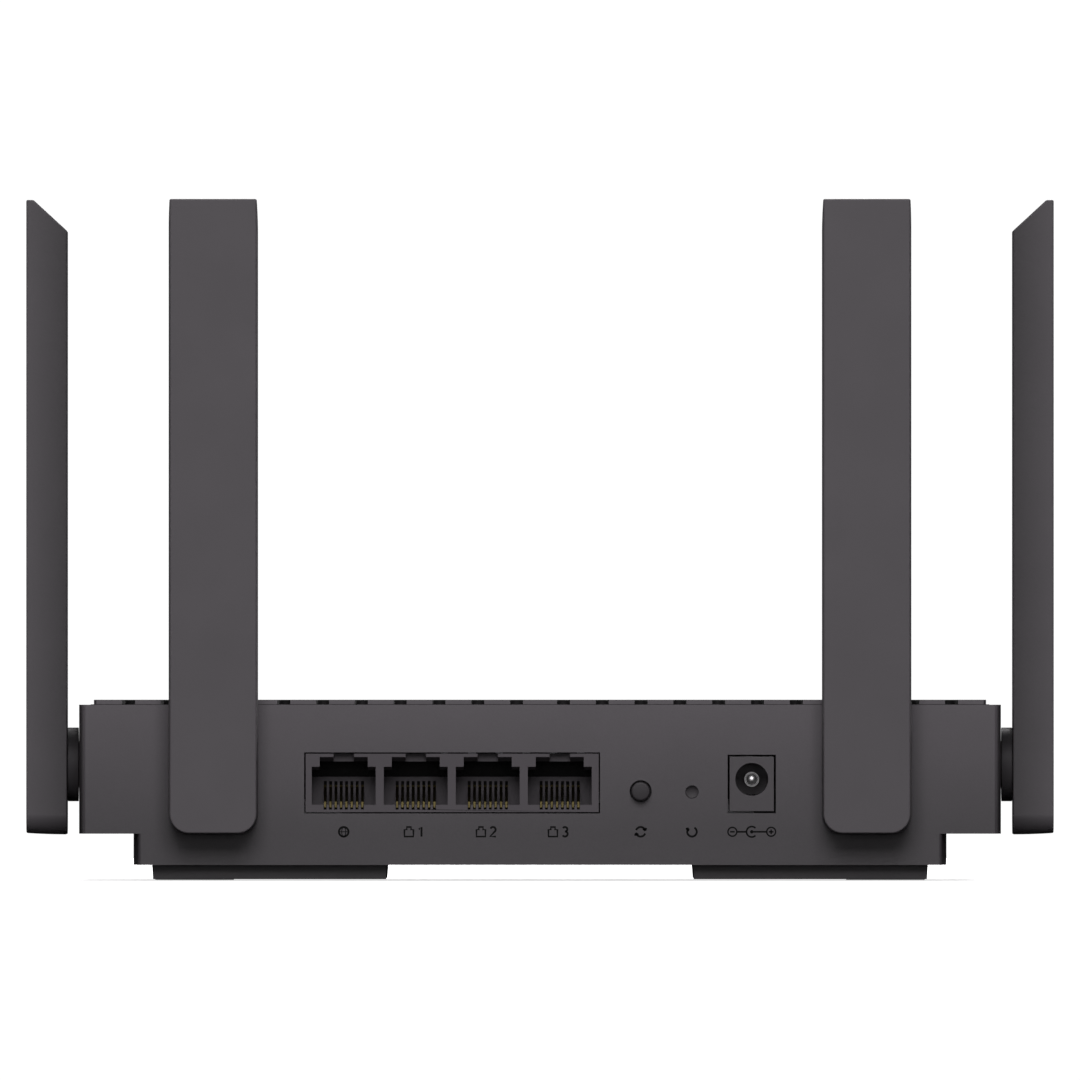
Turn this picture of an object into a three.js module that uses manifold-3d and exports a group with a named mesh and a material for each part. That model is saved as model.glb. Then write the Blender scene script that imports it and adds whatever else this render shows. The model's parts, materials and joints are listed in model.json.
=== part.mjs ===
// Four-antenna wireless router, in millimetres. +Z is up, -Y is the front, +Y is the side with the sockets.
// The origin is on the table plane, at the centre of the object's footprint with its antennas upright.
import * as THREE from "three";
import { mergeVertices } from "three/addons/utils/BufferGeometryUtils.js";
import Module from "manifold-3d";

const wasm = await Module();
wasm.setup();

// ---------------------------------------------------------------- driving dimensions
const BODY_W = 176;
const BODY_D = 118;
const FOOT_H = 2.86;
const STEP_Z = 8.83; // underside of the two overhanging sides
const RIM_Z = 33.45; // top of the housing's walls
const PANEL_Z = 34.4; // top of the ribbed panel
const LOWER_W = 155.2; // width of the body below the step
const SIDE_WALL = 2.2;
const REAR_WALL = 2;
const FLOOR = 2;
const FIT = 0.2; // gap between neighbouring mouldings

const HUB_GAP = 2.3; // from the housing's wall to the antenna
const ANTENNA_T = 7.8;
const ANTENNA_W = 17.05; // at the face next to the body
const ANTENNA_UP = 107.8; // above the pivot
const ANTENNA_DOWN = 13.1; // below the pivot
const PIVOT_Z = 22.04;
const REAR_PIVOT_X = 62.3;
const SIDE_PIVOT_INSET = 15; // from the rear face

const REAR_Y = (BODY_D - HUB_GAP - ANTENNA_T) / 2;
const FRONT_Y = REAR_Y - BODY_D;
const SIDE_X = BODY_W / 2;
const LOWER_X = LOWER_W / 2;
const LOWER_FRONT_Y = FRONT_Y + SIDE_X - LOWER_X; // the front overhangs as far as the sides do
const WALL_IN_Y = REAR_Y - REAR_WALL;

const BOARD_TOP_Z = 12.6;
const BOARD_T = 1.6;
const BOARD_X = 59.5;
const BOARD_REAR_Y = WALL_IN_Y - 0.4;
const BOARD_FRONT_Y = BOARD_REAR_Y - 90;

// ---------------------------------------------------------------- materials
const paint = (color, roughness, metalness = 0) =>
  new THREE.MeshStandardMaterial({ color, roughness, metalness });
const MATERIALS = {
  casing: paint(0x4b494b, 0.55),
  antenna: paint(0x504e50, 0.5),
  hub: paint(0x0d0c0e, 0.25),
  rubber: paint(0x1b1a1b, 0.9),
  lens: paint(0xd9dde0, 0.2),
  socket: paint(0x464446, 0.5),
  board: paint(0x17402a, 0.5),
  chip: paint(0x17171a, 0.5),
  gold: paint(0xc8a03c, 0.3, 1),
  steel: paint(0xb9bcc0, 0.35, 1),
  aluminium: paint(0xa4a7ab, 0.4, 1),
  cable: paint(0x202022, 0.6),
};

// ---------------------------------------------------------------- solids
/** A closed geometry as a manifold solid. */
function solid(geometry) {
  const bare = geometry.index ? geometry.toNonIndexed() : geometry.clone();
  bare.deleteAttribute("normal");
  bare.deleteAttribute("uv");
  const merged = mergeVertices(bare, 1e-4);
  return new wasm.Manifold(
    new wasm.Mesh({
      numProp: 3,
      vertProperties: new Float32Array(merged.attributes.position.array),
      triVerts: new Uint32Array(merged.index.array),
    }),
  );
}

/** A manifold solid as a three.js geometry. */
function geometryOf(made) {
  const mesh = made.getMesh();
  const geometry = new THREE.BufferGeometry();
  geometry.setAttribute("position", new THREE.BufferAttribute(new Float32Array(mesh.vertProperties), 3));
  geometry.setIndex(new THREE.BufferAttribute(new Uint32Array(mesh.triVerts), 1));
  return geometry;
}

/** A block between two opposite corners. */
function block([x0, y0, z0], [x1, y1, z1]) {
  const made = new THREE.BoxGeometry(x1 - x0, y1 - y0, z1 - z0);
  return solid(made.translate((x0 + x1) / 2, (y0 + y1) / 2, (z0 + z1) / 2));
}

/** A rectangle with its own radius at each corner: low-left, low-right, high-right, high-left. */
function rectangle(x0, y0, x1, y1, radii = [0, 0, 0, 0]) {
  const [a, b, c, d] = radii;
  const shape = new THREE.Shape();
  shape.moveTo(x0 + a, y0);
  shape.lineTo(x1 - b, y0);
  if (b) shape.absarc(x1 - b, y0 + b, b, -Math.PI / 2, 0);
  shape.lineTo(x1, y1 - c);
  if (c) shape.absarc(x1 - c, y1 - c, c, 0, Math.PI / 2);
  shape.lineTo(x0 + d, y1);
  if (d) shape.absarc(x0 + d, y1 - d, d, Math.PI / 2, Math.PI);
  shape.lineTo(x0, y0 + a);
  if (a) shape.absarc(x0 + a, y0 + a, a, Math.PI, 1.5 * Math.PI);
  return shape;
}

/** A closed outline through points. */
const polygon = (points) => new THREE.Shape(points.map(([x, y]) => new THREE.Vector2(x, y)));

/** A shape in the XY plane, raised from z0 to z1. */
function raised(shape, z0, z1, curveSegments = 4) {
  const made = new THREE.ExtrudeGeometry(shape, { depth: z1 - z0, bevelEnabled: false, curveSegments });
  return solid(made.translate(0, 0, z0));
}

/** A shape in the XZ plane, run along Y from y0 to y1. */
function alongY(shape, y0, y1, curveSegments = 4) {
  const made = new THREE.ExtrudeGeometry(shape, { depth: y1 - y0, bevelEnabled: false, curveSegments });
  return solid(made.rotateX(Math.PI / 2).translate(0, y1, 0));
}

/** A shape in the YZ plane, run along X from x0 to x1. */
function alongX(shape, x0, x1) {
  const made = new THREE.ExtrudeGeometry(shape, { depth: x1 - x0, bevelEnabled: false });
  return solid(made.rotateX(Math.PI / 2).rotateZ(Math.PI / 2).translate(x0, 0, 0));
}

/** A cylinder along +Z, +Y or +X whose axis starts at a point. */
function rod(axis, [x, y, z], radius, length, sides = 16) {
  const made = new THREE.CylinderGeometry(radius, radius, length, sides).translate(0, length / 2, 0);
  if (axis === "z") made.rotateX(Math.PI / 2);
  if (axis === "x") made.rotateZ(-Math.PI / 2);
  return solid(made.translate(x, y, z));
}

/**
 * A turned solid about +Z from a [radius, height] profile.
 * The profile runs up its outer side, and starts and ends on the axis or closes on itself.
 */
function turned(profile, sides = 12) {
  const closed = profile[0][0] > 0 ? [...profile, profile[0]] : profile;
  const points = closed.map(([r, h]) => new THREE.Vector2(r, h));
  return solid(new THREE.LatheGeometry(points, sides).rotateX(Math.PI / 2));
}

const joined = (parts) => parts.reduce((all, part) => all.add(part));
const cut = (body, tools) => (tools.length ? body.subtract(joined(tools)) : body);

const router = new THREE.Group();

/** Adds a named piece to a group. */
function piece(name, made, material, parent = router) {
  const mesh = new THREE.Mesh(geometryOf(made), MATERIALS[material]);
  mesh.name = name;
  parent.add(mesh);
  return mesh;
}

// ---------------------------------------------------------------- rear sockets and controls: sizes
const PORT_PITCH = 13.74;
// The wide-area port comes first, then the three local ones.
const PORT_X = [0, 1, 2, 3].map((i) => 37.45 - i * PORT_PITCH);
const PORT_NAMES = ["wan", "lan_1", "lan_2", "lan_3"];
const SOCKET = { x0: -11.2, x1: 44.7, z0: 12.95, z1: 24.1, depth: 16 };
const PORT = { width: 12.2, z0: 14.35, z1: 21.62, shoulderWidth: 9.16, shoulderZ: 23.47, latchWidth: 3.9 };
const LEAD_IN = { depth: 2.2, shoulder: 0.65, top: 0.85 }; // sloping lip just inside the opening
const CAVITY_DEPTH = 13;
const COMB = { depth: 9.6, top: 19.69, slotTop: 18.85, slotWidth: 0.56, pitch: 1.016, notchZ: 13.45 };
const CARRIER = { y0: 10.3, y1: 12, z0: 16.9, z1: 18.1 }; // behind the rear face
const CONTACTS = 8;

const JACK = {
  x: -40.4,
  width: 8.5,
  z0: 13.1,
  z1: 23.55,
  depth: 14,
  holeZ: 19.2,
  holeR: 3.1,
  holeDepth: 9.5,
};
const JACK_GAP = 0.3;

const WPS = { x: -19.2, z: 16.94, holeR: 2.1, capR: 1.74, face: REAR_Y + 2, stemR: 1.1, travel: 0.8 };
const RESET = { x: -29, z: 16.8, holeR: 1.27, capR: 1.15, face: REAR_Y - 0.9, stemR: 0.8, travel: 0.5 };
const SWITCH_Y = WALL_IN_Y - 4.6; // front of the two push switches on the board

// ---------------------------------------------------------------- screws, feet and pads: sizes
const SCREW_X = 66;
const SCREW_YS = [LOWER_FRONT_Y + 9, REAR_Y - 14];
const CORNERS = [
  ["front_left", -1, SCREW_YS[0]],
  ["front_right", 1, SCREW_YS[0]],
  ["rear_left", -1, SCREW_YS[1]],
  ["rear_right", 1, SCREW_YS[1]],
];
const BOSS_TOP_Z = 10.5;
const SCREW_HEAD_Z = 3.8;
const SCREW_HEAD_T = 1.7;

// ---------------------------------------------------------------- housing
const HUB_HOLE_R = 4.8;
const FRONT_EDGE_R = 3;
const LEDGE_Z = 32.1; // the top panel's web rests here
const LED_COUNT = 5;
const LED = { width: 2.4, height: 1.1, z: 15, pitch: 9 };
const ledX = (i) => (i - (LED_COUNT - 1) / 2) * LED.pitch;
const SIDE_PIVOT_Y = REAR_Y - SIDE_PIVOT_INSET;
const TAPER = { depth: 7, upper: 0.76, lower: 0.95 }; // the side walls draw in just before the rear face
const LIP_FRONT_Y = REAR_Y - TAPER.depth; // the rear wall's lower lip reaches under the box to here

/** The housing's plan: round front corners, and sides that draw in at the rear. */
function housingPlan() {
  const shape = new THREE.Shape();
  const r = FRONT_EDGE_R;
  shape.moveTo(-SIDE_X + r, FRONT_Y);
  shape.lineTo(SIDE_X - r, FRONT_Y);
  shape.absarc(SIDE_X - r, FRONT_Y + r, r, -Math.PI / 2, 0);
  shape.lineTo(SIDE_X, LIP_FRONT_Y);
  shape.lineTo(SIDE_X - TAPER.upper, REAR_Y);
  shape.lineTo(-SIDE_X + TAPER.upper, REAR_Y);
  shape.lineTo(-SIDE_X, LIP_FRONT_Y);
  shape.lineTo(-SIDE_X, FRONT_Y + r);
  shape.absarc(-SIDE_X + r, FRONT_Y + r, r, Math.PI, 1.5 * Math.PI);
  return shape;
}

/** The rear wall below the step, with its side returns and its own strip of floor. */
function rearLip() {
  const plan = polygon([
    [-LOWER_X, LIP_FRONT_Y],
    [LOWER_X, LIP_FRONT_Y],
    [LOWER_X - TAPER.lower, REAR_Y],
    [-LOWER_X + TAPER.lower, REAR_Y],
  ]);
  const inner = LOWER_X - SIDE_WALL;
  const hollow = block([-inner, LIP_FRONT_Y - 1, FOOT_H + FLOOR], [inner, WALL_IN_Y, STEP_Z + 1]);
  return raised(plan, FOOT_H, STEP_Z + 0.5).subtract(hollow);
}

function mainShell() {
  const inX = SIDE_X - SIDE_WALL;
  const inFrontY = FRONT_Y + SIDE_WALL;
  const ledgePlan = rectangle(-inX - 0.5, inFrontY - 0.5, inX + 0.5, WALL_IN_Y + 0.5);
  const ledge = raised(ledgePlan, LEDGE_Z - 1.2, LEDGE_Z);
  const ledgeHole = block(
    [-inX + 1.3, inFrontY + 1.3, LEDGE_Z - 2],
    [inX - 1.3, WALL_IN_Y - 1.3, LEDGE_Z + 1],
  );
  const tabs = CORNERS.map(([, side, y]) => {
    const from = side * (SCREW_X - 5.5);
    const to = side * (inX + 0.3);
    const floorTop = STEP_Z + FLOOR;
    return block([Math.min(from, to), y - 6, floorTop - 0.2], [Math.max(from, to), y + 6, floorTop + 2]);
  });
  const hollowPlan = rectangle(-inX, inFrontY, inX, WALL_IN_Y, [1.5, 1.5, 0, 0]);
  const hollow = raised(hollowPlan, STEP_Z + FLOOR, RIM_Z + 1);
  const trayOpening = block(
    [-LOWER_X, LOWER_FRONT_Y, STEP_Z - 1],
    [LOWER_X, WALL_IN_Y, STEP_Z + FLOOR + 1],
  );
  const body = raised(housingPlan(), STEP_Z, RIM_Z)
    .subtract(hollow)
    .subtract(trayOpening)
    .add(ledge.subtract(ledgeHole))
    .add(joined(tabs))
    .add(rearLip());
  const sockets = [
    block(
      [SOCKET.x0 - FIT, WALL_IN_Y - 1, SOCKET.z0 - FIT],
      [SOCKET.x1 + FIT, REAR_Y + 1, SOCKET.z1 + FIT],
    ),
    block(
      [JACK.x - JACK.width / 2 - JACK_GAP, WALL_IN_Y - 1, JACK.z0 - JACK_GAP],
      [JACK.x + JACK.width / 2 + JACK_GAP, REAR_Y + 1, JACK.z1 + JACK_GAP],
    ),
    rod("y", [WPS.x, WALL_IN_Y - 1, WPS.z], WPS.holeR, 4, 20),
    rod("y", [RESET.x, WALL_IN_Y - 1, RESET.z], RESET.holeR, 4, 14),
  ];
  const pivots = [-1, 1].flatMap((side) => [
    rod("y", [side * REAR_PIVOT_X, WALL_IN_Y - 1, PIVOT_Z], HUB_HOLE_R, 4),
    rod("x", [side * (SIDE_X - SIDE_WALL / 2) - 2, SIDE_PIVOT_Y, PIVOT_Z], HUB_HOLE_R, 4),
  ]);
  const lights = Array.from({ length: LED_COUNT }, (_, i) =>
    block(
      [ledX(i) - LED.width / 2 - 0.1, FRONT_Y - 1, LED.z - LED.height / 2 - 0.1],
      [ledX(i) + LED.width / 2 + 0.1, FRONT_Y + SIDE_WALL + 1, LED.z + LED.height / 2 + 0.1],
    ),
  );
  const pilots = CORNERS.map(([, side, y]) => rod("z", [side * SCREW_X, y, STEP_Z], 1.35, 6, 12));
  return cut(body, [...sockets, ...pivots, ...lights, ...pilots]);
}
piece("main_shell", mainShell(), "casing");

// ---------------------------------------------------------------- ribbed top panel
const GROOVE = { first: 4.48, pitch: 7.403, width: 2.5, count: 12, length: 64 };
const PANEL_X = SIDE_X - SIDE_WALL - 0.05;
const PANEL_FRONT_Y = FRONT_Y + SIDE_WALL + FIT;
const PANEL_LIP_Z = RIM_Z + 0.08; // the layer above the rear wall starts here
const grooveSteps = Array.from({ length: GROOVE.count }, (_, i) => GROOVE.first + i * GROOVE.pitch);
const grooveXs = grooveSteps.flatMap((x) => [-x, x]);

function topPanel() {
  const corner = FRONT_EDGE_R - SIDE_WALL + 0.4;
  const platePlan = rectangle(-PANEL_X, PANEL_FRONT_Y, PANEL_X, REAR_Y, [corner, corner, 0, 0]);
  const plate = raised(platePlan, PANEL_LIP_Z, PANEL_Z);
  const web = raised(
    rectangle(-PANEL_X, PANEL_FRONT_Y, PANEL_X, WALL_IN_Y - FIT, [corner, corner, 0, 0]),
    LEDGE_Z + 0.1,
    PANEL_LIP_Z + 0.1,
  );
  const grooves = grooveXs.map((x) => {
    const half = GROOVE.width / 2;
    return block([x - half, REAR_Y - GROOVE.length, PANEL_LIP_Z], [x + half, REAR_Y + 1, PANEL_Z + 1]);
  });
  const slots = grooveXs
    .filter((x) => Math.abs(x) < PANEL_X - GROOVE.pitch)
    .map((x) => block([x - 0.7, REAR_Y - 56, LEDGE_Z - 1], [x + 0.7, REAR_Y - 8, PANEL_Z]));
  return cut(plate.add(web), [...grooves, ...slots]);
}
piece("top_panel", topPanel(), "casing");

// ---------------------------------------------------------------- base tray
const TRAY = {
  x: LOWER_X - 0.15,
  y0: LOWER_FRONT_Y + 0.15,
  y1: LIP_FRONT_Y - 0.15,
  wall: 1.8,
  floorTop: FOOT_H + FLOOR,
};
const KEYHOLE = { x: 22, y: 30, headR: 3.7, neckR: 1.9, travel: 7 };
const VENT = { count: 11, pitch: 4.6, width: 1.8, y0: -34, y1: 12 };
const BOARD_POSTS = [
  [-52, BOARD_FRONT_Y + 6],
  [52, BOARD_FRONT_Y + 6],
  [-52, BOARD_REAR_Y - 26],
  [52, BOARD_REAR_Y - 26],
];

function baseTray() {
  const outer = raised(rectangle(-TRAY.x, TRAY.y0, TRAY.x, TRAY.y1, [1.5, 1.5, 0, 0]), FOOT_H, BOSS_TOP_Z);
  const hollow = block(
    [-TRAY.x + TRAY.wall, TRAY.y0 + TRAY.wall, TRAY.floorTop],
    [TRAY.x - TRAY.wall, TRAY.y1 - TRAY.wall, BOSS_TOP_Z + 1],
  );
  const bottom = FOOT_H + 0.5;
  const bossHeight = BOSS_TOP_Z - bottom;
  const bosses = CORNERS.map(([, side, y]) => rod("z", [side * SCREW_X, y, bottom], 4, bossHeight, 16));
  const postHeight = BOARD_TOP_Z - BOARD_T - 0.1 - bottom;
  const posts = BOARD_POSTS.map(([x, y]) => rod("z", [x, y, bottom], 2.6, postHeight, 12));
  const counterbores = CORNERS.map(([, side, y]) =>
    rod("z", [side * SCREW_X, y, FOOT_H - 1], 2.8, SCREW_HEAD_Z + SCREW_HEAD_T + 1.1 - FOOT_H, 16),
  );
  const screwHoles = CORNERS.map(([, side, y]) =>
    rod("z", [side * SCREW_X, y, FOOT_H], 1.5, BOSS_TOP_Z, 12),
  );
  const postHoles = BOARD_POSTS.slice(2).map(([x, y]) =>
    rod("z", [x, y, FOOT_H + 2.5], 1.2, BOSS_TOP_Z, 12),
  );
  const vents = Array.from({ length: VENT.count }, (_, i) => {
    const x = (i - (VENT.count - 1) / 2) * VENT.pitch;
    return block(
      [x - VENT.width / 2, VENT.y0, FOOT_H - 1],
      [x + VENT.width / 2, VENT.y1, TRAY.floorTop + 1],
    );
  });
  const keyholes = [-1, 1].flatMap((side) => [
    rod("z", [side * KEYHOLE.x, KEYHOLE.y, FOOT_H - 1], KEYHOLE.headR, FLOOR + 2),
    raised(
      rectangle(
        side * KEYHOLE.x - KEYHOLE.neckR,
        KEYHOLE.y,
        side * KEYHOLE.x + KEYHOLE.neckR,
        KEYHOLE.y + KEYHOLE.travel + KEYHOLE.neckR,
        [0, 0, KEYHOLE.neckR - 0.01, KEYHOLE.neckR - 0.01],
      ),
      FOOT_H - 1,
      TRAY.floorTop + 1,
      5,
    ),
  ]);
  const body = outer.subtract(hollow).add(joined([...bosses, ...posts]));
  return cut(body, [...counterbores, ...screwHoles, ...postHoles, ...vents, ...keyholes]);
}
piece("base_tray", baseTray(), "casing");

// ---------------------------------------------------------------- foot rails, pads and case screws
const RAIL = { x0: 29.25, x1: 74.05, y0: LOWER_FRONT_Y + 2.5, y1: REAR_Y - 3.2, draft: 0.2, z0: 0.15 };
const PAD = { x: 15, y: 10, depth: 0.9 };

/** One long foot: a bar with drafted sides, two pad pockets and a clear way to the screws above them. */
function footRail(side) {
  const top = FOOT_H - 0.05;
  const outline = polygon([
    [RAIL.x0 + RAIL.draft, RAIL.z0],
    [RAIL.x1 - RAIL.draft, RAIL.z0],
    [RAIL.x1, top],
    [RAIL.x0, top],
  ]);
  let bar = alongY(outline, RAIL.y0, RAIL.y1);
  if (side < 0) bar = bar.mirror([1, 0, 0]);
  const own = CORNERS.filter(([, s]) => s === side);
  const pockets = own.map(([, , y]) =>
    block(
      [side * SCREW_X - PAD.x / 2 - 0.1, y - PAD.y / 2 - 0.1, -1],
      [side * SCREW_X + PAD.x / 2 + 0.1, y + PAD.y / 2 + 0.1, PAD.depth + 0.1],
    ),
  );
  const ways = own.map(([, , y]) => rod("z", [side * SCREW_X, y, -1], 2.8, 6, 16));
  return cut(bar, [...pockets, ...ways]);
}

/** A self-tapping screw, head down, with a cross recess. */
function caseScrew() {
  const profile = [
    [0, 0],
    [1.6, 0.1],
    [2.4, 0.7],
    [2.4, SCREW_HEAD_T],
    [1.2, SCREW_HEAD_T],
    [1.2, 7.6],
    [0.4, 8.6],
    [0, 8.6],
  ];
  const recess = [block([-1.4, -0.3, -1], [1.4, 0.3, 0.9]), block([-0.3, -1.4, -1], [0.3, 1.4, 0.9])];
  return cut(turned(profile, 10), recess);
}

for (const [label, side] of [
  ["left", -1],
  ["right", 1],
]) {
  piece(`foot_rail_${label}`, footRail(side), "casing");
}
for (const [label, side, y] of CORNERS) {
  const outline = rectangle(-PAD.x / 2, -PAD.y / 2, PAD.x / 2, PAD.y / 2, [2, 2, 2, 2]);
  piece(`foot_pad_${label}`, raised(outline, 0, PAD.depth, 2), "rubber").position.set(side * SCREW_X, y, 0);
  piece(`case_screw_${label}`, caseScrew(), "steel").position.set(side * SCREW_X, y, SCREW_HEAD_Z);
}

// ---------------------------------------------------------------- light guide, behind the front wall
function lightGuide() {
  const bar = block(
    [ledX(0) - 3, FRONT_Y + 6, LED.z - 0.5],
    [ledX(LED_COUNT - 1) + 3, FRONT_Y + 8, LED.z + 0.5],
  );
  const prongs = Array.from({ length: LED_COUNT }, (_, i) =>
    block(
      [ledX(i) - LED.width / 2, FRONT_Y, LED.z - LED.height / 2],
      [ledX(i) + LED.width / 2, BOARD_FRONT_Y + 1.5, LED.z + LED.height / 2],
    ),
  );
  return joined([bar, ...prongs]);
}
piece("light_guide", lightGuide(), "lens");

// ---------------------------------------------------------------- circuit board and what it carries
function mainBoard() {
  const outline = rectangle(-BOARD_X, BOARD_FRONT_Y, BOARD_X, BOARD_REAR_Y, [2, 2, 2, 2]);
  const body = raised(outline, BOARD_TOP_Z - BOARD_T, BOARD_TOP_Z, 2);
  return cut(
    body,
    BOARD_POSTS.map(([x, y]) => rod("z", [x, y, 5], 1.6, 12, 12)),
  );
}

/** A rectangular component standing on the board, around a centre. */
function onBoard([x, y], [w, d, h], lift = 0.05) {
  const z0 = BOARD_TOP_Z + lift;
  return block([x - w / 2, y - d / 2, z0], [x + w / 2, y + d / 2, z0 + h]);
}

const SOC = { at: [0, 0], size: [16, 16, 1.3] };
const CAPACITOR_AT = [
  [-31, 24],
  [-20, 27],
];
const THERMAL_PAD_T = 0.6;

function heatsink() {
  const z0 = BOARD_TOP_Z + SOC.size[2] + THERMAL_PAD_T + 0.15;
  const [x, y] = SOC.at;
  const base = block([x - 19, y - 19, z0], [x + 19, y + 19, z0 + 2]);
  const fins = Array.from({ length: 8 }, (_, i) => {
    const left = x - 19 + (i * (38 - 1.4)) / 7;
    return block([left, y - 19, z0 + 1], [left + 1.4, y + 19, z0 + 10]);
  });
  return joined([base, ...fins]);
}

/** A can capacitor: a sleeve with a crimp near the base. */
function capacitor() {
  return turned([
    [0, 0],
    [4, 0],
    [4, 0.9],
    [3.7, 1.5],
    [4, 2.1],
    [4, 11.4],
    [3.7, 11.8],
    [0, 11.8],
  ]);
}

/** A right-angle push switch facing the rear wall, with a bore that takes the button's stem. */
function pushSwitch({ x, z, stemR }) {
  const body = block([x - 3, SWITCH_Y - 5, BOARD_TOP_Z + 0.05], [x + 3, SWITCH_Y, z + 2.4]);
  return body.subtract(rod("y", [x, SWITCH_Y - 3.2, z], stemR + 0.3, 4, 12));
}

piece("main_board", mainBoard(), "board");
piece("soc_chip", onBoard(SOC.at, SOC.size), "chip");
piece("thermal_pad", onBoard(SOC.at, [15, 15, THERMAL_PAD_T], SOC.size[2] + 0.1), "rubber");
piece("heatsink", heatsink(), "aluminium");
piece("ram_chip", onBoard([-29, -2], [10, 13, 1.2]), "chip");
piece("rf_shield_2_4_ghz", onBoard([-40, -24], [26, 20, 2.6]), "steel");
piece("rf_shield_5_ghz", onBoard([40, -22], [30, 22, 2.6]), "steel");
piece("lan_transformer_1", onBoard([30, 25], [16, 12, 5.4]), "chip");
piece("lan_transformer_2", onBoard([6, 29], [16, 12, 5.4]), "chip");
piece("power_inductor", onBoard([-46, 12], [10, 10, 4.5]), "chip");
for (const [i, [x, y]] of CAPACITOR_AT.entries()) {
  piece(`capacitor_${i + 1}`, capacitor(), "aluminium").position.set(x, y, BOARD_TOP_Z + 0.05);
}
piece("wps_switch", pushSwitch(WPS), "chip");
piece("reset_switch", pushSwitch(RESET), "chip");

/** A short pan-head screw that holds the board to a post. */
function boardScrew([x, y]) {
  const head = rod("z", [x, y, BOARD_TOP_Z + 0.05], 2.4, 1.3, 16);
  return head.add(rod("z", [x, y, BOARD_TOP_Z - 5.5], 1, 6, 10));
}
piece("board_screw_left", boardScrew(BOARD_POSTS[2]), "steel");
piece("board_screw_right", boardScrew(BOARD_POSTS[3]), "steel");

// ---------------------------------------------------------------- the four-way network socket
/** One port's T-shaped hollow with its sloping lip, and the comb of slots under it. */
function portHollow(x) {
  const half = PORT.width / 2;
  const shoulder = PORT.shoulderWidth / 2;
  const latch = PORT.latchWidth / 2;
  const lowZ1 = PORT.z1 - LEAD_IN.shoulder;
  const topZ = PORT.shoulderZ - LEAD_IN.top;
  const face = REAR_Y + 1;
  const back = REAR_Y - CAVITY_DEPTH;
  const lip = (z, drop) =>
    polygon([
      [REAR_Y - LEAD_IN.depth, z - drop - 0.5],
      [face, z - drop - 0.5],
      [face, z],
      [REAR_Y - FIT, z],
      [REAR_Y - LEAD_IN.depth, z - drop],
    ]);
  return joined([
    block([x - half, REAR_Y - COMB.depth, PORT.z0], [x + half, face, lowZ1]),
    block([x - half, back, COMB.top], [x + half, face, lowZ1]),
    block([x - shoulder, back, COMB.top], [x + shoulder, face, topZ]),
    alongX(lip(PORT.z1, LEAD_IN.shoulder), x - half, x + half),
    alongX(lip(PORT.shoulderZ, LEAD_IN.top), x - shoulder, x + shoulder),
    block([x - latch, REAR_Y - LEAD_IN.depth, topZ - 0.5], [x + latch, face, SOCKET.z1 + 1]),
  ]);
}

const contactX = (x, i) => x + (i - (CONTACTS - 1) / 2) * COMB.pitch;

function combSlots(x) {
  const half = COMB.slotWidth / 2;
  return Array.from({ length: CONTACTS }, (_, i) => {
    const at = contactX(x, i);
    return block(
      [at - half, REAR_Y - COMB.depth - 2.4, PORT.z0 - 0.9],
      [at + half, REAR_Y - COMB.depth + 0.1, COMB.slotTop],
    ).add(block([at - half, REAR_Y - COMB.depth - 1, COMB.notchZ], [at + half, REAR_Y + 1, PORT.z0 + 0.2]));
  });
}

/** The hidden groove behind one port's comb that holds the strip its contacts are moulded into. */
function carrierGroove(x) {
  const half = ((CONTACTS - 1) / 2) * COMB.pitch + 0.6;
  return block(
    [x - half, REAR_Y - CARRIER.y1, CARRIER.z0 - 0.2],
    [x + half, REAR_Y - CARRIER.y0, CARRIER.z1 + 0.2],
  );
}

function networkSocket() {
  const body = block([SOCKET.x0, REAR_Y - SOCKET.depth, SOCKET.z0], [SOCKET.x1, REAR_Y - 0.05, SOCKET.z1]);
  return cut(body, [...PORT_X.map(portHollow), ...PORT_X.flatMap(combSlots), ...PORT_X.map(carrierGroove)]);
}
piece("network_socket", networkSocket(), "socket");

/** One port's eight sprung wires, each rising from its notch to its slot, moulded into a carrier strip. */
function portContacts(x) {
  const halfWire = 0.19;
  const low = COMB.notchZ + 0.1;
  const wire = polygon([
    [REAR_Y - CARRIER.y0 - 0.5, CARRIER.z1 - 0.2],
    [REAR_Y - 1.6, low + 1.55],
    [REAR_Y - 1.2, low + 1.4],
    [REAR_Y - 0.9, low + 0.3],
    [REAR_Y - 1.2, low],
    [REAR_Y - COMB.depth, low],
    [REAR_Y - COMB.depth, low + 0.3],
    [REAR_Y - 1.4, low + 0.3],
    [REAR_Y - 1.7, low + 1.15],
    [REAR_Y - CARRIER.y0 - 0.5, CARRIER.z1 - 0.6],
  ]);
  const wires = Array.from({ length: CONTACTS }, (_, i) => {
    const at = contactX(x, i);
    return alongX(wire, at - halfWire, at + halfWire);
  });
  const span = ((CONTACTS - 1) / 2) * COMB.pitch + 0.4;
  const strip = block(
    [x - span, REAR_Y - CARRIER.y1 + 0.2, CARRIER.z0],
    [x + span, REAR_Y - CARRIER.y0 - 0.2, CARRIER.z1],
  );
  return joined([...wires, strip]);
}
for (const [i, name] of PORT_NAMES.entries()) {
  piece(`contacts_${name}`, portContacts(PORT_X[i]), "gold");
}

// ---------------------------------------------------------------- power jack
const PIN = { tipR: 0.5, ringR: 1.45, grooveR: 0.95, rootR: 0.8, tip: 1.2 };
const LEAF = { width: 1.8, z0: 14.4, rise: 0.25 };

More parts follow.
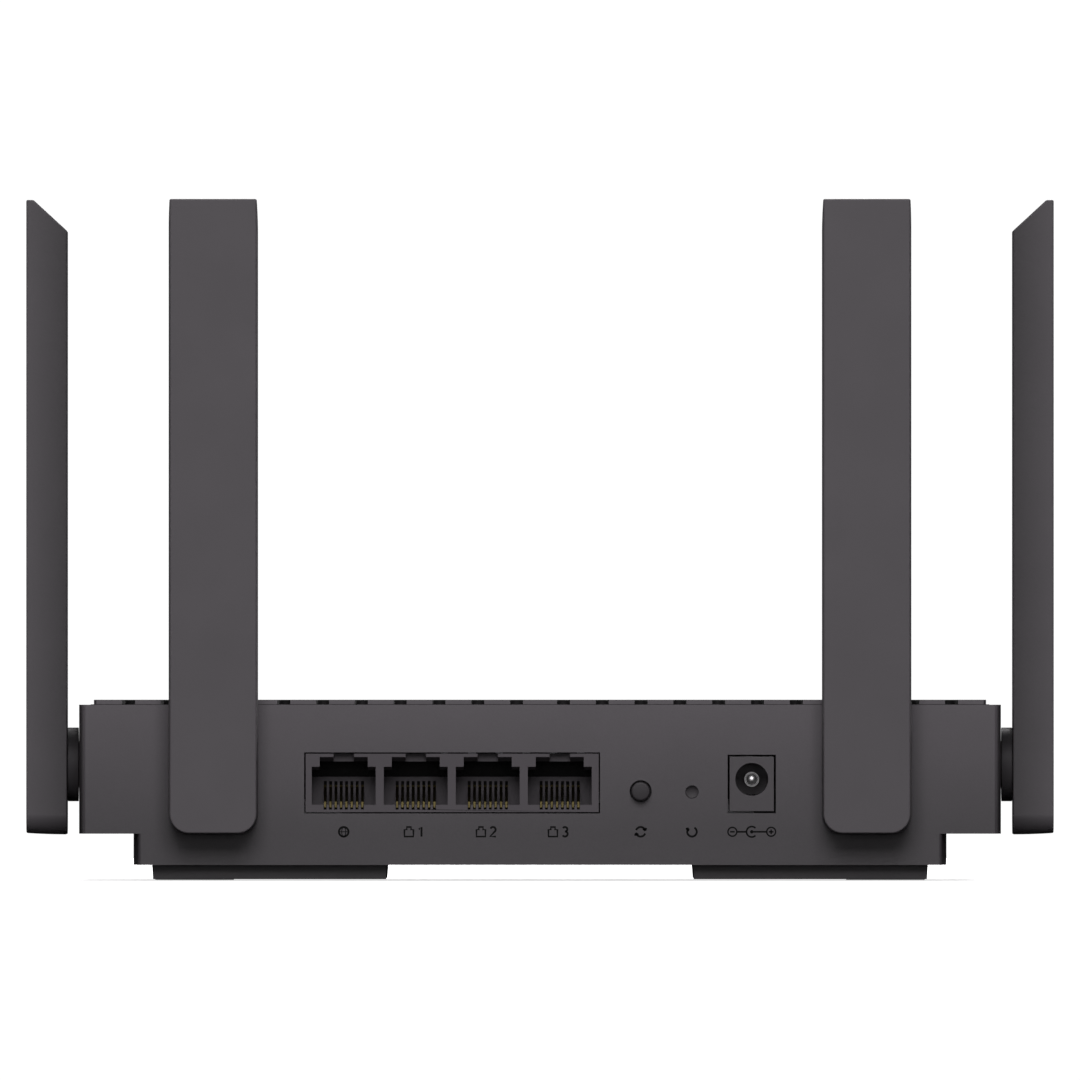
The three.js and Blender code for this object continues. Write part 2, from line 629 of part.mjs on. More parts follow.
function jackHousing() {
  const half = JACK.width / 2;
  const body = block(
    [JACK.x - half, REAR_Y - JACK.depth, JACK.z0],
    [JACK.x + half, REAR_Y - 0.05, JACK.z1],
  );
  const bore = rod("y", [JACK.x, REAR_Y - JACK.holeDepth, JACK.holeZ], JACK.holeR, JACK.holeDepth + 1, 24);
  const root = rod("y", [JACK.x, REAR_Y - JACK.depth - 1, JACK.holeZ], PIN.rootR + 0.1, JACK.depth, 12);
  const leafSlot = block(
    [JACK.x - LEAF.width / 2 - 0.2, REAR_Y - JACK.holeDepth, LEAF.z0],
    [JACK.x + LEAF.width / 2 + 0.2, REAR_Y - 2.2, JACK.holeZ],
  );
  return cut(body, [bore, root, leafSlot]);
}

/** The centre pin, turned about +Z from its root, then laid along +Y: a barrel with a domed tip. */
function jackPin() {
  const length = JACK.holeDepth - PIN.tip;
  const rootLength = JACK.depth - JACK.holeDepth + 0.5;
  return turned([
    [0, -rootLength],
    [PIN.rootR, -rootLength],
    [PIN.rootR, 0.1],
    [PIN.ringR, 0.1],
    [PIN.ringR, length - 0.2],
    [PIN.ringR - 0.2, length],
    [PIN.grooveR, length],
    [PIN.grooveR, length - 1],
    [PIN.tipR + 0.1, length - 1],
    [PIN.tipR + 0.1, length - 0.1],
    [PIN.tipR - 0.2, length + 0.2],
    [0, length + 0.3],
  ]);
}

function jackLeaf() {
  const back = REAR_Y - JACK.holeDepth + 0.2;
  const front = REAR_Y - 2.4;
  const crest = JACK.holeZ - JACK.holeR + LEAF.rise;
  const strip = polygon([
    [back, LEAF.z0 + 0.1],
    [front - 1.2, crest - 0.35],
    [front, LEAF.z0 + 0.5],
    [front, LEAF.z0 + 0.85],
    [front - 1.2, crest],
    [back, LEAF.z0 + 0.45],
  ]);
  return alongX(strip, JACK.x - LEAF.width / 2, JACK.x + LEAF.width / 2);
}
piece("dc_jack_housing", jackHousing(), "socket");
piece("dc_jack_leaf", jackLeaf(), "steel");
const pin = piece("dc_jack_pin", jackPin(), "steel");
pin.position.set(JACK.x, REAR_Y - JACK.holeDepth, JACK.holeZ);
pin.rotation.x = -Math.PI / 2;

// ---------------------------------------------------------------- push buttons
/** A button along +Y: a domed cap, a flange that stops it behind the wall, and a stem into its switch. */
function button({ capR, face, stemR, travel }) {
  const flangeTop = WALL_IN_Y - 0.3 - face;
  const stemEnd = SWITCH_Y - 3.2 + travel + 0.4 - face;
  return turned([
    [0, stemEnd],
    [stemR, stemEnd],
    [stemR, flangeTop - 1.2],
    [capR + 0.9, flangeTop - 1.2],
    [capR + 0.9, flangeTop],
    [capR, flangeTop],
    [capR, -0.35],
    [capR - 0.25, -0.12],
    [capR * 0.5, -0.02],
    [0, 0],
  ]);
}
for (const [name, control] of [
  ["wps_button", WPS],
  ["reset_button", RESET],
]) {
  const cap = piece(name, button(control), "casing");
  cap.position.set(control.x, control.face, control.z);
  cap.rotation.x = -Math.PI / 2;
}

// ---------------------------------------------------------------- antennas, standing on a pivot along +Y
const ANTENNA_WALL = 1.4;
const ANTENNA_DRAFT = 0.27; // each side, from the inner face to the outer one
const CORNER_R = 3.8;
const BEVEL = { flat: 1.4, drop: 5.9 };
const COVER_T = 1.2;
const INNER_Y = HUB_GAP;
const OUTER_Y = HUB_GAP + ANTENNA_T;
const COVER_TOP = ANTENNA_UP - 8.3;
const HUB = { spigotR: 4.5, diskR: 7.05, headR: 5.5, neckR: 5, flangeR: 6.4, boreR: 1.6 };

/** The closed blade: drafted sides, round lower corners and a sloping cut on the inner side of its tip. */
function blade() {
  const half = ANTENNA_W / 2;
  const corners = [CORNER_R, CORNER_R, 0, 0];
  const shape = rectangle(-half, -ANTENNA_DOWN - ANTENNA_DRAFT, half, ANTENNA_UP, corners);
  const options = { depth: ANTENNA_T, bevelEnabled: false, curveSegments: 5 };
  const made = new THREE.ExtrudeGeometry(shape, options);
  made.rotateX(Math.PI / 2).translate(0, OUTER_Y, 0);
  const place = made.attributes.position;
  for (let i = 0; i < place.count; i += 1) {
    const outward = (place.getY(i) - INNER_Y) / ANTENNA_T;
    place.setX(i, place.getX(i) * (1 - (ANTENNA_DRAFT / half) * outward));
    if (place.getZ(i) < 0) place.setZ(i, place.getZ(i) + ANTENNA_DRAFT * outward);
  }
  const tip = alongX(
    polygon([
      [OUTER_Y - BEVEL.flat, ANTENNA_UP],
      [INNER_Y, ANTENNA_UP - BEVEL.drop],
      [INNER_Y - 1, ANTENNA_UP - BEVEL.drop - BEVEL.drop / (ANTENNA_T - BEVEL.flat)],
      [INNER_Y - 1, ANTENNA_UP + 1],
      [OUTER_Y - BEVEL.flat, ANTENNA_UP + 1],
    ]),
    -ANTENNA_W,
    ANTENNA_W,
  );
  return solid(made).subtract(tip);
}

/** The outline of the opening in the blade's inner face, less a margin. */
function openingOutline(margin) {
  const half = ANTENNA_W / 2 - ANTENNA_WALL - margin;
  const r = CORNER_R - ANTENNA_WALL;
  const low = -ANTENNA_DOWN + ANTENNA_WALL + margin;
  return rectangle(-half, low, half, COVER_TOP - margin, [r, r, 0.6, 0.6]);
}

function antennaShell() {
  return blade().subtract(alongY(openingOutline(0), INNER_Y - 1, OUTER_Y - ANTENNA_WALL, 2));
}

function antennaCover() {
  const plate = alongY(openingOutline(0.1), INNER_Y, INNER_Y + COVER_T, 2);
  return plate.subtract(rod("y", [0, INNER_Y - 1, 0], HUB.neckR + 0.2, 4));
}

/** The pivot, turned about +Z: a snap head inside the wall, a spigot, the disk, a neck and a flange. */
function antennaHub(wall) {
  return turned(
    [
      [HUB.boreR, -wall - 1.7],
      [HUB.headR, -wall - 1.7],
      [HUB.headR, -wall - 0.3],
      [HUB.spigotR, -wall - 0.3],
      [HUB.spigotR, 0.15],
      [HUB.diskR, 0.15],
      [HUB.diskR, HUB_GAP - 0.1],
      [HUB.neckR, HUB_GAP - 0.1],
      [HUB.neckR, HUB_GAP + COVER_T + 0.1],
      [HUB.flangeR, HUB_GAP + COVER_T + 0.1],
      [HUB.flangeR, HUB_GAP + COVER_T + 1.2],
      [HUB.boreR, HUB_GAP + COVER_T + 1.2],
    ],
    16,
  );
}

/** The radiating element: a narrow strip of circuit board with a wider foot. */
function antennaElement() {
  const strip = block([-3.2, 5.6, 8], [3.2, 6.4, COVER_TOP - 6]);
  return strip.add(block([-5.5, 5.6, -6], [5.5, 6.4, 9]));
}

const QUARTER = Math.PI / 2;
const ANTENNAS = [
  { name: "rear_left", at: [-REAR_PIVOT_X, REAR_Y, PIVOT_Z], turn: 0, wall: REAR_WALL },
  { name: "rear_right", at: [REAR_PIVOT_X, REAR_Y, PIVOT_Z], turn: 0, wall: REAR_WALL },
  { name: "side_left", at: [-SIDE_X, SIDE_PIVOT_Y, PIVOT_Z], turn: QUARTER, wall: SIDE_WALL },
  { name: "side_right", at: [SIDE_X, SIDE_PIVOT_Y, PIVOT_Z], turn: -QUARTER, wall: SIDE_WALL },
];
for (const { name, at, turn, wall } of ANTENNAS) {
  const antenna = new THREE.Group();
  antenna.position.set(...at);
  antenna.rotation.z = turn;
  router.add(antenna);
  piece(`antenna_shell_${name}`, antennaShell(), "antenna", antenna);
  piece(`antenna_cover_${name}`, antennaCover(), "antenna", antenna);
  piece(`antenna_element_${name}`, antennaElement(), "board", antenna);
  piece(`antenna_hub_${name}`, antennaHub(wall), "hub", antenna).rotation.x = -QUARTER;
}

// ---------------------------------------------------------------- coaxial leads, from shields to pivots
const LEAD_R = 0.65;
const LEAD_END = 3; // past the outside of the wall, inside the hub's bore
const LEAD_START_Z = BOARD_TOP_Z + 1.3;
const LEADS = {
  rear_left: [
    [-46, -13, LEAD_START_Z],
    [-52, -7, 16],
    [-60, 12, 20.5],
    [-REAR_PIVOT_X, 32, PIVOT_Z],
    [-REAR_PIVOT_X, 46, PIVOT_Z],
    [-REAR_PIVOT_X, REAR_Y + LEAD_END, PIVOT_Z],
  ],
  rear_right: [
    [48, -10, LEAD_START_Z],
    [53, -4, 16],
    [60, 13, 20.5],
    [REAR_PIVOT_X, 32, PIVOT_Z],
    [REAR_PIVOT_X, 46, PIVOT_Z],
    [REAR_PIVOT_X, REAR_Y + LEAD_END, PIVOT_Z],
  ],
  side_left: [
    [-54, -28, LEAD_START_Z],
    [-62, -22, 16],
    [-69, 0, 20],
    [-71, 24, PIVOT_Z],
    [-74.5, 35.5, PIVOT_Z],
    [-82, SIDE_PIVOT_Y, PIVOT_Z],
    [-SIDE_X - LEAD_END, SIDE_PIVOT_Y, PIVOT_Z],
  ],
  side_right: [
    [56, -26, LEAD_START_Z],
    [63, -20, 16],
    [69, 0, 20],
    [71, 24, PIVOT_Z],
    [74.5, 35.5, PIVOT_Z],
    [82, SIDE_PIVOT_Y, PIVOT_Z],
    [SIDE_X + LEAD_END, SIDE_PIVOT_Y, PIVOT_Z],
  ],
};

/** A thin cable of six sides along a curve through points. */
function lead(points) {
  const corners = Array.from({ length: 6 }, (_, i) => {
    const angle = (i * Math.PI) / 3;
    return [LEAD_R * Math.cos(angle), LEAD_R * Math.sin(angle)];
  });
  const extrudePath = new THREE.CatmullRomCurve3(points.map((point) => new THREE.Vector3(...point)));
  return solid(new THREE.ExtrudeGeometry(polygon(corners), { extrudePath, steps: 18 }));
}
for (const [name, points] of Object.entries(LEADS)) {
  piece(`antenna_lead_${name}`, lead(points), "cable");
}

export default router;
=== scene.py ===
"""A wireless router with four blade antennas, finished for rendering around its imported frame.

Shapes are worked out in millimetres and placed in metres. +Z is up and +Y is the side with the sockets.
"""
import json
import math

import bmesh
import bpy
from mathutils import Matrix, Vector


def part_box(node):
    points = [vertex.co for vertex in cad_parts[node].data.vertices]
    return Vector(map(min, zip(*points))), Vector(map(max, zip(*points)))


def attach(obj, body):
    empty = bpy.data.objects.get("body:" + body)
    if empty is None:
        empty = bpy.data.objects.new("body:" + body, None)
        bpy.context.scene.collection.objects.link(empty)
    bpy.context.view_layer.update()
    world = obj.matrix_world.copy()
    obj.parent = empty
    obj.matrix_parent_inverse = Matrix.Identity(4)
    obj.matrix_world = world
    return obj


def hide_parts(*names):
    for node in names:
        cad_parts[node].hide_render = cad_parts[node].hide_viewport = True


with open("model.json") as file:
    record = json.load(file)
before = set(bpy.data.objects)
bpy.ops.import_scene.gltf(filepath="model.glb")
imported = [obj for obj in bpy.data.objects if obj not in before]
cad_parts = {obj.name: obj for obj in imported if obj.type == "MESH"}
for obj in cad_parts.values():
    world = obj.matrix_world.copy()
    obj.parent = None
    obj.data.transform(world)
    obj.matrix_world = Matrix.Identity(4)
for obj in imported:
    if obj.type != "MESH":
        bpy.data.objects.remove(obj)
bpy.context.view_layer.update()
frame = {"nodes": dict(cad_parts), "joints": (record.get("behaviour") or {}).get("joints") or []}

MM = 0.001


def span(node):
    """Lowest and highest corner of a CAD node, in millimetres."""
    low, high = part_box(node)
    return low / MM, high / MM


def middle_of(node):
    """Where the middle of a CAD node lies on the rear face, in millimetres."""
    low, high = span(node)
    return (low.x + high.x) / 2, (low.z + high.z) / 2


def antenna_joints():
    return [joint for joint in frame["joints"] if joint["child"].startswith("antenna")]


def on_rear_wall(joint):
    """Whether an antenna turns about the depth axis, as those on the rear wall do."""
    return abs(joint["axis"][1]) > 0.5


# ---------------------------------------------------------------- places read from the frame
SHELL_LOW, SHELL_HIGH = span("main_shell")
PANEL_LOW, PANEL_HIGH = span("top_panel")
TRAY_LOW, TRAY_HIGH = span("base_tray")
SOCKET_LOW, SOCKET_HIGH = span("network_socket")
JACK_LOW, JACK_HIGH = span("dc_jack_housing")
REAR_Y = SHELL_HIGH.y
JACK_X = (JACK_LOW.x + JACK_HIGH.x) / 2
PORTS = ("wan", "lan_1", "lan_2", "lan_3")
PORT_X = [middle_of(f"contacts_{port}")[0] for port in PORTS]
PIVOT_Z = antenna_joints()[0]["pos_m"][2] / MM

# ---------------------------------------------------------------- sizes, in millimetres
STEP_Z = 8.83  # underside of the overhanging sides
SIDE_WALL = 2.2
REAR_WALL = 2.0
FLOOR_T = 2.0
CUT_FRONT = REAR_Y - 4  # cuts through the rear wall run from here
CUT_REAR = REAR_Y + 1  # to here
TRAY_GAP = 0.15
LOWER_HALF = TRAY_HIGH.x + TRAY_GAP  # half the width of the opening that the tray sits in
TAPER = {"depth": 7.0, "upper": 0.76, "lower": 0.95}  # the side walls draw in just before the rear face
FRONT_EDGE_R = 3.0
REAR_EDGE_R = 0.7
FOOT_H = SHELL_LOW.z
RIM_Z = SHELL_HIGH.z
LEDGE_Z = PANEL_LOW.z - 0.1
GROOVE = {"first": 4.48, "pitch": 7.403, "width": 2.5, "count": 12, "length": 64, "floor": RIM_Z + 0.08}
SLOT = {"half": 0.7, "front": 56, "rear": 8}  # its ends are measured from the rear face
SHORT_OF_ROUND = 0.01  # keeps the two corners of a half-round end from meeting
JACK = {
    "bore_r": 3.1, "bore_depth": 9.5, "z": 19.2, "root_r": 0.9,
    "leaf_half": 1.1, "leaf_z": 14.4, "leaf_front": 2.2,
}
TIP_R = 1.02  # the tip of the jack's pin, painted brighter than its ring as a highlight
BUTTONS = {
    "wps_button": {"hole": 2.1, "cap": 1.74, "stem": 1.1, "crown": 0.08, "edge": 0.2},
    "reset_button": {"hole": 1.27, "cap": 1.22, "stem": 0.8, "crown": -0.15, "edge": 0.05},
}
HUB_HOLE_R = 4.8
HUB = {"bore": 1.6, "head": 5.5, "spigot": 4.5, "disk": 7.05, "neck": 5.0, "flange": 6.4}
ANTENNA = {"gap": 2.3, "thick": 7.8, "half": 8.525, "up": 107.8, "down": 13.37, "draft": 0.27, "corner": 3.8}
BLADE_WALL = 1.4
COVER_T = 1.2
COVER_TOP = ANTENNA["up"] - 8.3
BEVEL_FLAT = 1.4
BEVEL_DROP = 5.9


# ---------------------------------------------------------------- solids
def arc(cx, cy, radius, start, end, steps):
    """Points along an arc, its angles in degrees, both ends included."""
    angles = [math.radians(start + (end - start) * i / steps) for i in range(steps + 1)]
    return [(cx + radius * math.cos(a), cy + radius * math.sin(a)) for a in angles]


def circle(cx, cy, radius, steps=64):
    return arc(cx, cy, radius, 0, 360, steps)[:-1]


def rounded(x0, y0, x1, y1, radii=(0, 0, 0, 0), steps=8):
    """A rectangle with its own radius at each corner: low-left, low-right, high-right, high-left."""
    corners = [(x0, y0, 1, 1, 180), (x1, y0, -1, 1, 270), (x1, y1, -1, -1, 0), (x0, y1, 1, -1, 90)]
    points = []
    for (x, y, sx, sy, start), r in zip(corners, radii):
        if r > 0:
            points += arc(x + sx * r, y + sy * r, r, start, start + 90, steps)
        else:
            points.append((x, y))
    return points


AXES = {
    "x": lambda u, v, w: (w, u, v),
    "y": lambda u, v, w: (u, w, v),
    "z": lambda u, v, w: (u, v, w),
}


def loft(rings):
    """A solid skin over rings of points, capped at both ends."""
    bm = bmesh.new()
    made = [[bm.verts.new(point) for point in ring] for ring in rings]
    for low, high in zip(made, made[1:]):
        for i in range(len(low)):
            j = (i + 1) % len(low)
            bm.faces.new((low[i], low[j], high[j], high[i]))
    bm.faces.new(made[0])
    bm.faces.new(made[-1])
    bmesh.ops.recalc_face_normals(bm, faces=bm.faces)
    return to_object(bm)


def to_object(bm):
    mesh = bpy.data.meshes.new("solid")
    bm.to_mesh(mesh)
    bm.free()
    made = bpy.data.objects.new("solid", mesh)
    bpy.context.scene.collection.objects.link(made)
    return made


def prism(outline, axis, low, high):
    """A solid: an outline run along one axis."""
    return loft([[AXES[axis](u, v, w) for u, v in outline] for w in (low, high)])


def block(low, high):
    return prism(rounded(low[0], low[1], high[0], high[1]), "z", low[2], high[2])


def cylinder(axis, u, v, radius, low, high):
    return prism(circle(u, v, radius), axis, low, high)


def lathe(profile, steps=64):
    """A solid turned about +Y from [radius, y] points. They start and end on the axis, or make a ring."""
    bm = bmesh.new()
    verts = [bm.verts.new((r, y, 0)) for r, y in profile]
    edges = [bm.edges.new(pair) for pair in zip(verts, verts[1:])]
    if profile[0][0] > 0:
        edges.append(bm.edges.new((verts[-1], verts[0])))
    bmesh.ops.spin(
        bm, geom=verts + edges, axis=(0, 1, 0), cent=(0, 0, 0), angle=math.tau, steps=steps, use_merge=True
    )
    bmesh.ops.remove_doubles(bm, verts=bm.verts, dist=1e-5)
    bmesh.ops.recalc_face_normals(bm, faces=bm.faces)
    return to_object(bm)


def apply_modifiers(made):
    """Keeps what the modifiers make as the object's own mesh."""
    bpy.context.view_layer.update()
    mesh = bpy.data.meshes.new_from_object(made.evaluated_get(bpy.context.evaluated_depsgraph_get()))
    old = made.data
    made.modifiers.clear()
    made.data = mesh
    bpy.data.meshes.remove(old)


def boolean(made, tools, operation):
    """Cuts or joins a solid with others, which it uses up."""
    group = bpy.data.collections.new("tools")
    bpy.context.scene.collection.children.link(group)
    for tool in tools:
        group.objects.link(tool)
    step = made.modifiers.new("boolean", "BOOLEAN")
    step.operation = operation
    step.solver = "EXACT"
    step.operand_type = "COLLECTION"
    step.collection = group
    apply_modifiers(made)
    for tool in tools:
        bpy.data.objects.remove(tool)
    bpy.data.collections.remove(group)
    return made


def cut(made, tools):
    return boolean(made, tools, "DIFFERENCE")


def add(made, tools):
    return boolean(made, tools, "UNION")


def soften(made, width, segments=2, sharp=28):
    """Rounds the edges sharper than an angle in degrees."""
    step = made.modifiers.new("edges", "BEVEL")
    step.width = width
    step.segments = segments
    step.limit_method = "ANGLE"
    step.angle_limit = math.radians(sharp)
    apply_modifiers(made)
    return made


def smooth_shading(made, sharp=40):
    for face in made.data.polygons:
        face.use_smooth = True
    made.data.set_sharp_from_angle(angle=math.radians(sharp))
    made.modifiers.new("normals", "WEIGHTED_NORMAL").keep_sharp = True


def piece(made, name, body, material, nodes=()):
    """Names a solid, sets it in place in metres and hands it to a body and a material slot."""
    made.name = name
    made.data.transform(Matrix.Scale(MM, 4))
    made.data.materials.clear()
    made.data.materials.append(material)
    smooth_shading(made)
    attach(made, body)
    if nodes:
        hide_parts(*nodes)
    return made


def keep(node, material, width=0.0, segments=2):
    """A CAD node that shows as it is, with a finer edge and its material."""
    made = frame["nodes"][node]
    made.data.materials.clear()
    made.data.materials.append(material)
    if width:
        flat = made.modifiers.new("flat", "DECIMATE")
        flat.decimate_type = "DISSOLVE"
        flat.angle_limit = math.radians(1)
        edges = made.modifiers.new("edges", "BEVEL")
        edges.width = width * MM
        edges.segments = segments
        edges.limit_method = "ANGLE"
        edges.angle_limit = math.radians(35)
        for face in made.data.polygons:
            face.use_smooth = True
        made.modifiers.new("normals", "WEIGHTED_NORMAL")


# ---------------------------------------------------------------- materials
NOISE_RANGE = (0.3, 0.7)  # where most of a noise texture's values lie
BROAD_GRAIN = 14.0  # size of the patches that a colour drifts over, in millimetres
ROUGHNESS_CHANGE = 0.05
BUMP_STRENGTH = 0.35
COAT_ROUGHNESS = 0.12


def node_material(name):
    material = bpy.data.materials.new(name)
    material.use_nodes = True
    nodes = material.node_tree.nodes
    return material, nodes, material.node_tree.links, nodes["Principled BSDF"]


def noise(nodes, links, size_mm, detail=2.0, stretch=(1, 1, 1)):
    """Noise whose grains are about a size in millimetres, fixed to the object."""
    where = nodes.new("ShaderNodeTexCoord")
    scale = nodes.new("ShaderNodeMapping")
    scale.inputs["Scale"].default_value = stretch
    made = nodes.new("ShaderNodeTexNoise")
    made.inputs["Scale"].default_value = 1 / (size_mm * MM)
    made.inputs["Detail"].default_value = detail
    links.new(where.outputs["Object"], scale.inputs["Vector"])
    links.new(scale.outputs["Vector"], made.inputs["Vector"])
    return made


def spread(nodes, links, source, low, high):
    """Turns noise into a number between two limits."""
    made = nodes.new("ShaderNodeMapRange")
    made.inputs["From Min"].default_value, made.inputs["From Max"].default_value = NOISE_RANGE
    made.inputs["To Min"].default_value = low
    made.inputs["To Max"].default_value = high
    links.new(source, made.inputs["Value"])
    return made.outputs["Result"]


def tinted(nodes, links, source, colour, change):
    """A colour that drifts a little darker and lighter with noise."""
    mix = nodes.new("ShaderNodeMix")
    mix.data_type = "RGBA"
    mix.inputs["A"].default_value = (*[c * (1 - change) for c in colour], 1)
    mix.inputs["B"].default_value = (*[c * (1 + change) for c in colour], 1)
    links.new(spread(nodes, links, source, 0, 1), mix.inputs["Factor"])
    return mix.outputs["Result"]


def shaded(nodes, links, colour, source, low, high, darkest):
    """Multiplies a colour by a factor that rises from darkest to 1 as a number goes from low to high."""
    ramp = nodes.new("ShaderNodeMapRange")
    ramp.inputs["From Min"].default_value = low
    ramp.inputs["From Max"].default_value = high
    ramp.inputs["To Min"].default_value = darkest
    ramp.inputs["To Max"].default_value = 1.0
    links.new(source, ramp.inputs["Value"])
    scale = nodes.new("ShaderNodeVectorMath")
    scale.operation = "SCALE"
    links.new(colour, scale.inputs[0])
    links.new(ramp.outputs["Result"], scale.inputs["Scale"])
    return scale.outputs["Vector"]


def object_axis(nodes, links, axis):
    where = nodes.new("ShaderNodeTexCoord")
    parts = nodes.new("ShaderNodeSeparateXYZ")
    links.new(where.outputs["Object"], parts.inputs["Vector"])
    return parts.outputs[axis]


def outwardness(nodes):
    """How far a point lies from an antenna's inner face, from 0 to 1."""
    made = nodes.new("ShaderNodeAttribute")
    made.attribute_name = "outward"
    return made.outputs["Fac"]


def bumped(nodes, links, source, shader, depth_mm):
    made = nodes.new("ShaderNodeBump")
    made.inputs["Strength"].default_value = BUMP_STRENGTH
    made.inputs["Distance"].default_value = depth_mm * MM
    links.new(source, made.inputs["Height"])
    links.new(made.outputs["Normal"], shader.inputs["Normal"])


def finish(name, colour, roughness, metallic=0.0, grain=0.5, depth=0.02, drift=0.04, specular=0.5, coat=0.0,
           stretch=(1, 1, 1), shade=None):
    """A surface with a fine grain in its bump, a drift in its colour and a change in its roughness.

    The grain's size and depth are in millimetres. A shade, if given, paints light and shade into the colour.
    """
    material, nodes, links, shader = node_material(name)
    fine = noise(nodes, links, grain, detail=3.0, stretch=stretch)
    broad = noise(nodes, links, BROAD_GRAIN)
    tint = tinted(nodes, links, broad.outputs["Fac"], colour, drift)
    if shade:
        tint = shade(nodes, links, tint)
    links.new(tint, shader.inputs["Base Color"])
    limits = (roughness - ROUGHNESS_CHANGE, roughness + ROUGHNESS_CHANGE)
    links.new(spread(nodes, links, fine.outputs["Fac"], *limits), shader.inputs["Roughness"])
    bumped(nodes, links, fine.outputs["Fac"], shader, depth)
    shader.inputs["Metallic"].default_value = metallic
    shader.inputs["Specular IOR Level"].default_value = specular
    shader.inputs["Coat Weight"].default_value = coat
    shader.inputs["Coat Roughness"].default_value = COAT_ROUGHNESS
    material.diffuse_color = (*colour, 1)
    return material


def shaded_by_height(nodes, links, tint, dark_z, light_z, darkest):
    """Darkens a colour towards one of two heights, in millimetres."""
    return shaded(nodes, links, tint, object_axis(nodes, links, "Z"), dark_z * MM, light_z * MM, darkest)


def foot_shade(nodes, links, tint):
    """Painted shade: the feet darken towards the table."""
    return shaded_by_height(nodes, links, tint, 0.0, FOOT_H, darkest=0.65)


def casing_shade(nodes, links, tint):
    """Painted shade: the casing darkens downwards from its rim."""
    return shaded_by_height(nodes, links, tint, STEP_Z, RIM_Z, darkest=0.5)


def hub_shade(nodes, links, tint):
    """Painted shade: the hubs are darker at their tops."""
    return shaded_by_height(nodes, links, tint, PIVOT_Z + 6.5, PIVOT_Z + 1, darkest=0.25)


def antenna_shade(nodes, links, tint):
    """Painted shade: the antennas darken towards their inner faces."""
    return shaded(nodes, links, tint, outwardness(nodes), 0.0, 1.0, darkest=0.45)


def socket_shade(nodes, links, tint):
    """Painted shade: the socket darkens inside its mouth, and is black behind the comb."""
    depth = object_axis(nodes, links, "Y")
    tint = shaded(nodes, links, tint, depth, (REAR_Y - 2.0) * MM, (REAR_Y - 0.8) * MM, darkest=0.76)
    return shaded(nodes, links, tint, depth, (REAR_Y - 12.9) * MM, (REAR_Y - 9.7) * MM, darkest=0.02)


def gold_painted_light(nodes, links, tint):
    """Painted light and shade: the contacts are bright low down, where they leave the socket's floor, and
    darker higher up.
    """
    return shaded_by_height(nodes, links, tint, 16.5, 14.9, darkest=0.4)


CHARCOAL = (0.079, 0.071, 0.079)
DARK_CHARCOAL = (0.032, 0.029, 0.032)
MOULDED = {"grain": 0.35, "depth": 0.012}
MATERIALS = {
    "casing": finish("casing", CHARCOAL, 0.55, **MOULDED, shade=casing_shade),
    "foot": finish("foot", DARK_CHARCOAL, 0.55, **MOULDED, specular=0.4, shade=foot_shade),
    "button": finish("button", DARK_CHARCOAL, 0.5, **MOULDED, specular=0.25),
    # painted shade: near-black for the insides of the grooves, slots and openings, which are only in shade
    "groove": finish("painted_shade_black", (0.007, 0.0065, 0.007), 0.7, **MOULDED, specular=0.2),
    "antenna": finish(
        "antenna", (0.084, 0.078, 0.084), 0.55, grain=0.35, depth=0.01, specular=0.3, shade=antenna_shade
    ),
    "socket": finish(
        "socket_plastic", (0.09, 0.083, 0.09), 0.5, grain=0.5, depth=0.008, specular=0.08, shade=socket_shade
    ),
    "jack": finish("jack_plastic", (0.064, 0.059, 0.064), 0.5, grain=0.5, depth=0.008, specular=0.3),
    "hub": finish(
        "pivot_hub", (0.036, 0.034, 0.036), 0.5, grain=1.5, depth=0.001, specular=0.06, shade=hub_shade
    ),
    "rubber": finish("rubber", (0.013, 0.013, 0.013), 0.8, grain=0.3, depth=0.03, specular=0.3),
    "ink": finish("printed_ink", (0.003, 0.003, 0.003), 0.7, grain=0.2, depth=0.004, specular=0.1),
    "gold": finish(
        "gold_contact", (0.05, 0.041, 0.017), 0.5, metallic=1.0, grain=0.6, depth=0.004, shade=gold_painted_light
    ),
    "pin": finish("pin_nickel", (0.16, 0.16, 0.16), 0.36, metallic=1.0, grain=0.3, depth=0.004),
    # the pin's tip: the pin's metal made brighter, a painted highlight
    "tip": finish("pin_tip_painted_highlight", (0.5, 0.5, 0.5), 0.4, metallic=1.0, grain=0.3, depth=0.002),
    "steel": finish("nickel_steel", (0.4, 0.39, 0.4), 0.26, metallic=1.0, grain=0.3, depth=0.004),
    "tin": finish("tinned_steel", (0.3, 0.3, 0.31), 0.4, metallic=1.0, grain=1.2, depth=0.01),
    "aluminium": finish(
        "aluminium", (0.28, 0.29, 0.3), 0.45, metallic=1.0, grain=0.25, depth=0.01, stretch=(1, 0.05, 1)
    ),
    "board": finish("solder_mask", (0.006, 0.045, 0.018), 0.32, grain=1.6, depth=0.02, drift=0.15, coat=0.3),
    "chip": finish("epoxy", (0.012, 0.012, 0.013), 0.5, grain=0.25, depth=0.01),
    "lens": finish("light_guide", (0.7, 0.72, 0.74), 0.3, grain=0.4, depth=0.01),
    "cable": finish("cable_jacket", (0.014, 0.014, 0.015), 0.45, grain=0.8, depth=0.01),
}


# ---------------------------------------------------------------- housing
def groove_centres():
    centres = [GROOVE["first"] + i * GROOVE["pitch"] for i in range(GROOVE["count"])]
    return [side * x for x in centres for side in (-1, 1)]


def drawn_in(half, inset):
    """A side wall's rear end: it draws in by inset, then turns onto the rear face with a small radius."""
    depth = TAPER["depth"]
    centre_x = half - inset - REAR_EDGE_R * (math.hypot(depth, inset) - inset) / depth
    start = math.degrees(math.atan2(inset, depth))
    return [(half, REAR_Y - depth)] + arc(centre_x, REAR_Y - REAR_EDGE_R, REAR_EDGE_R, start, 90, 6)


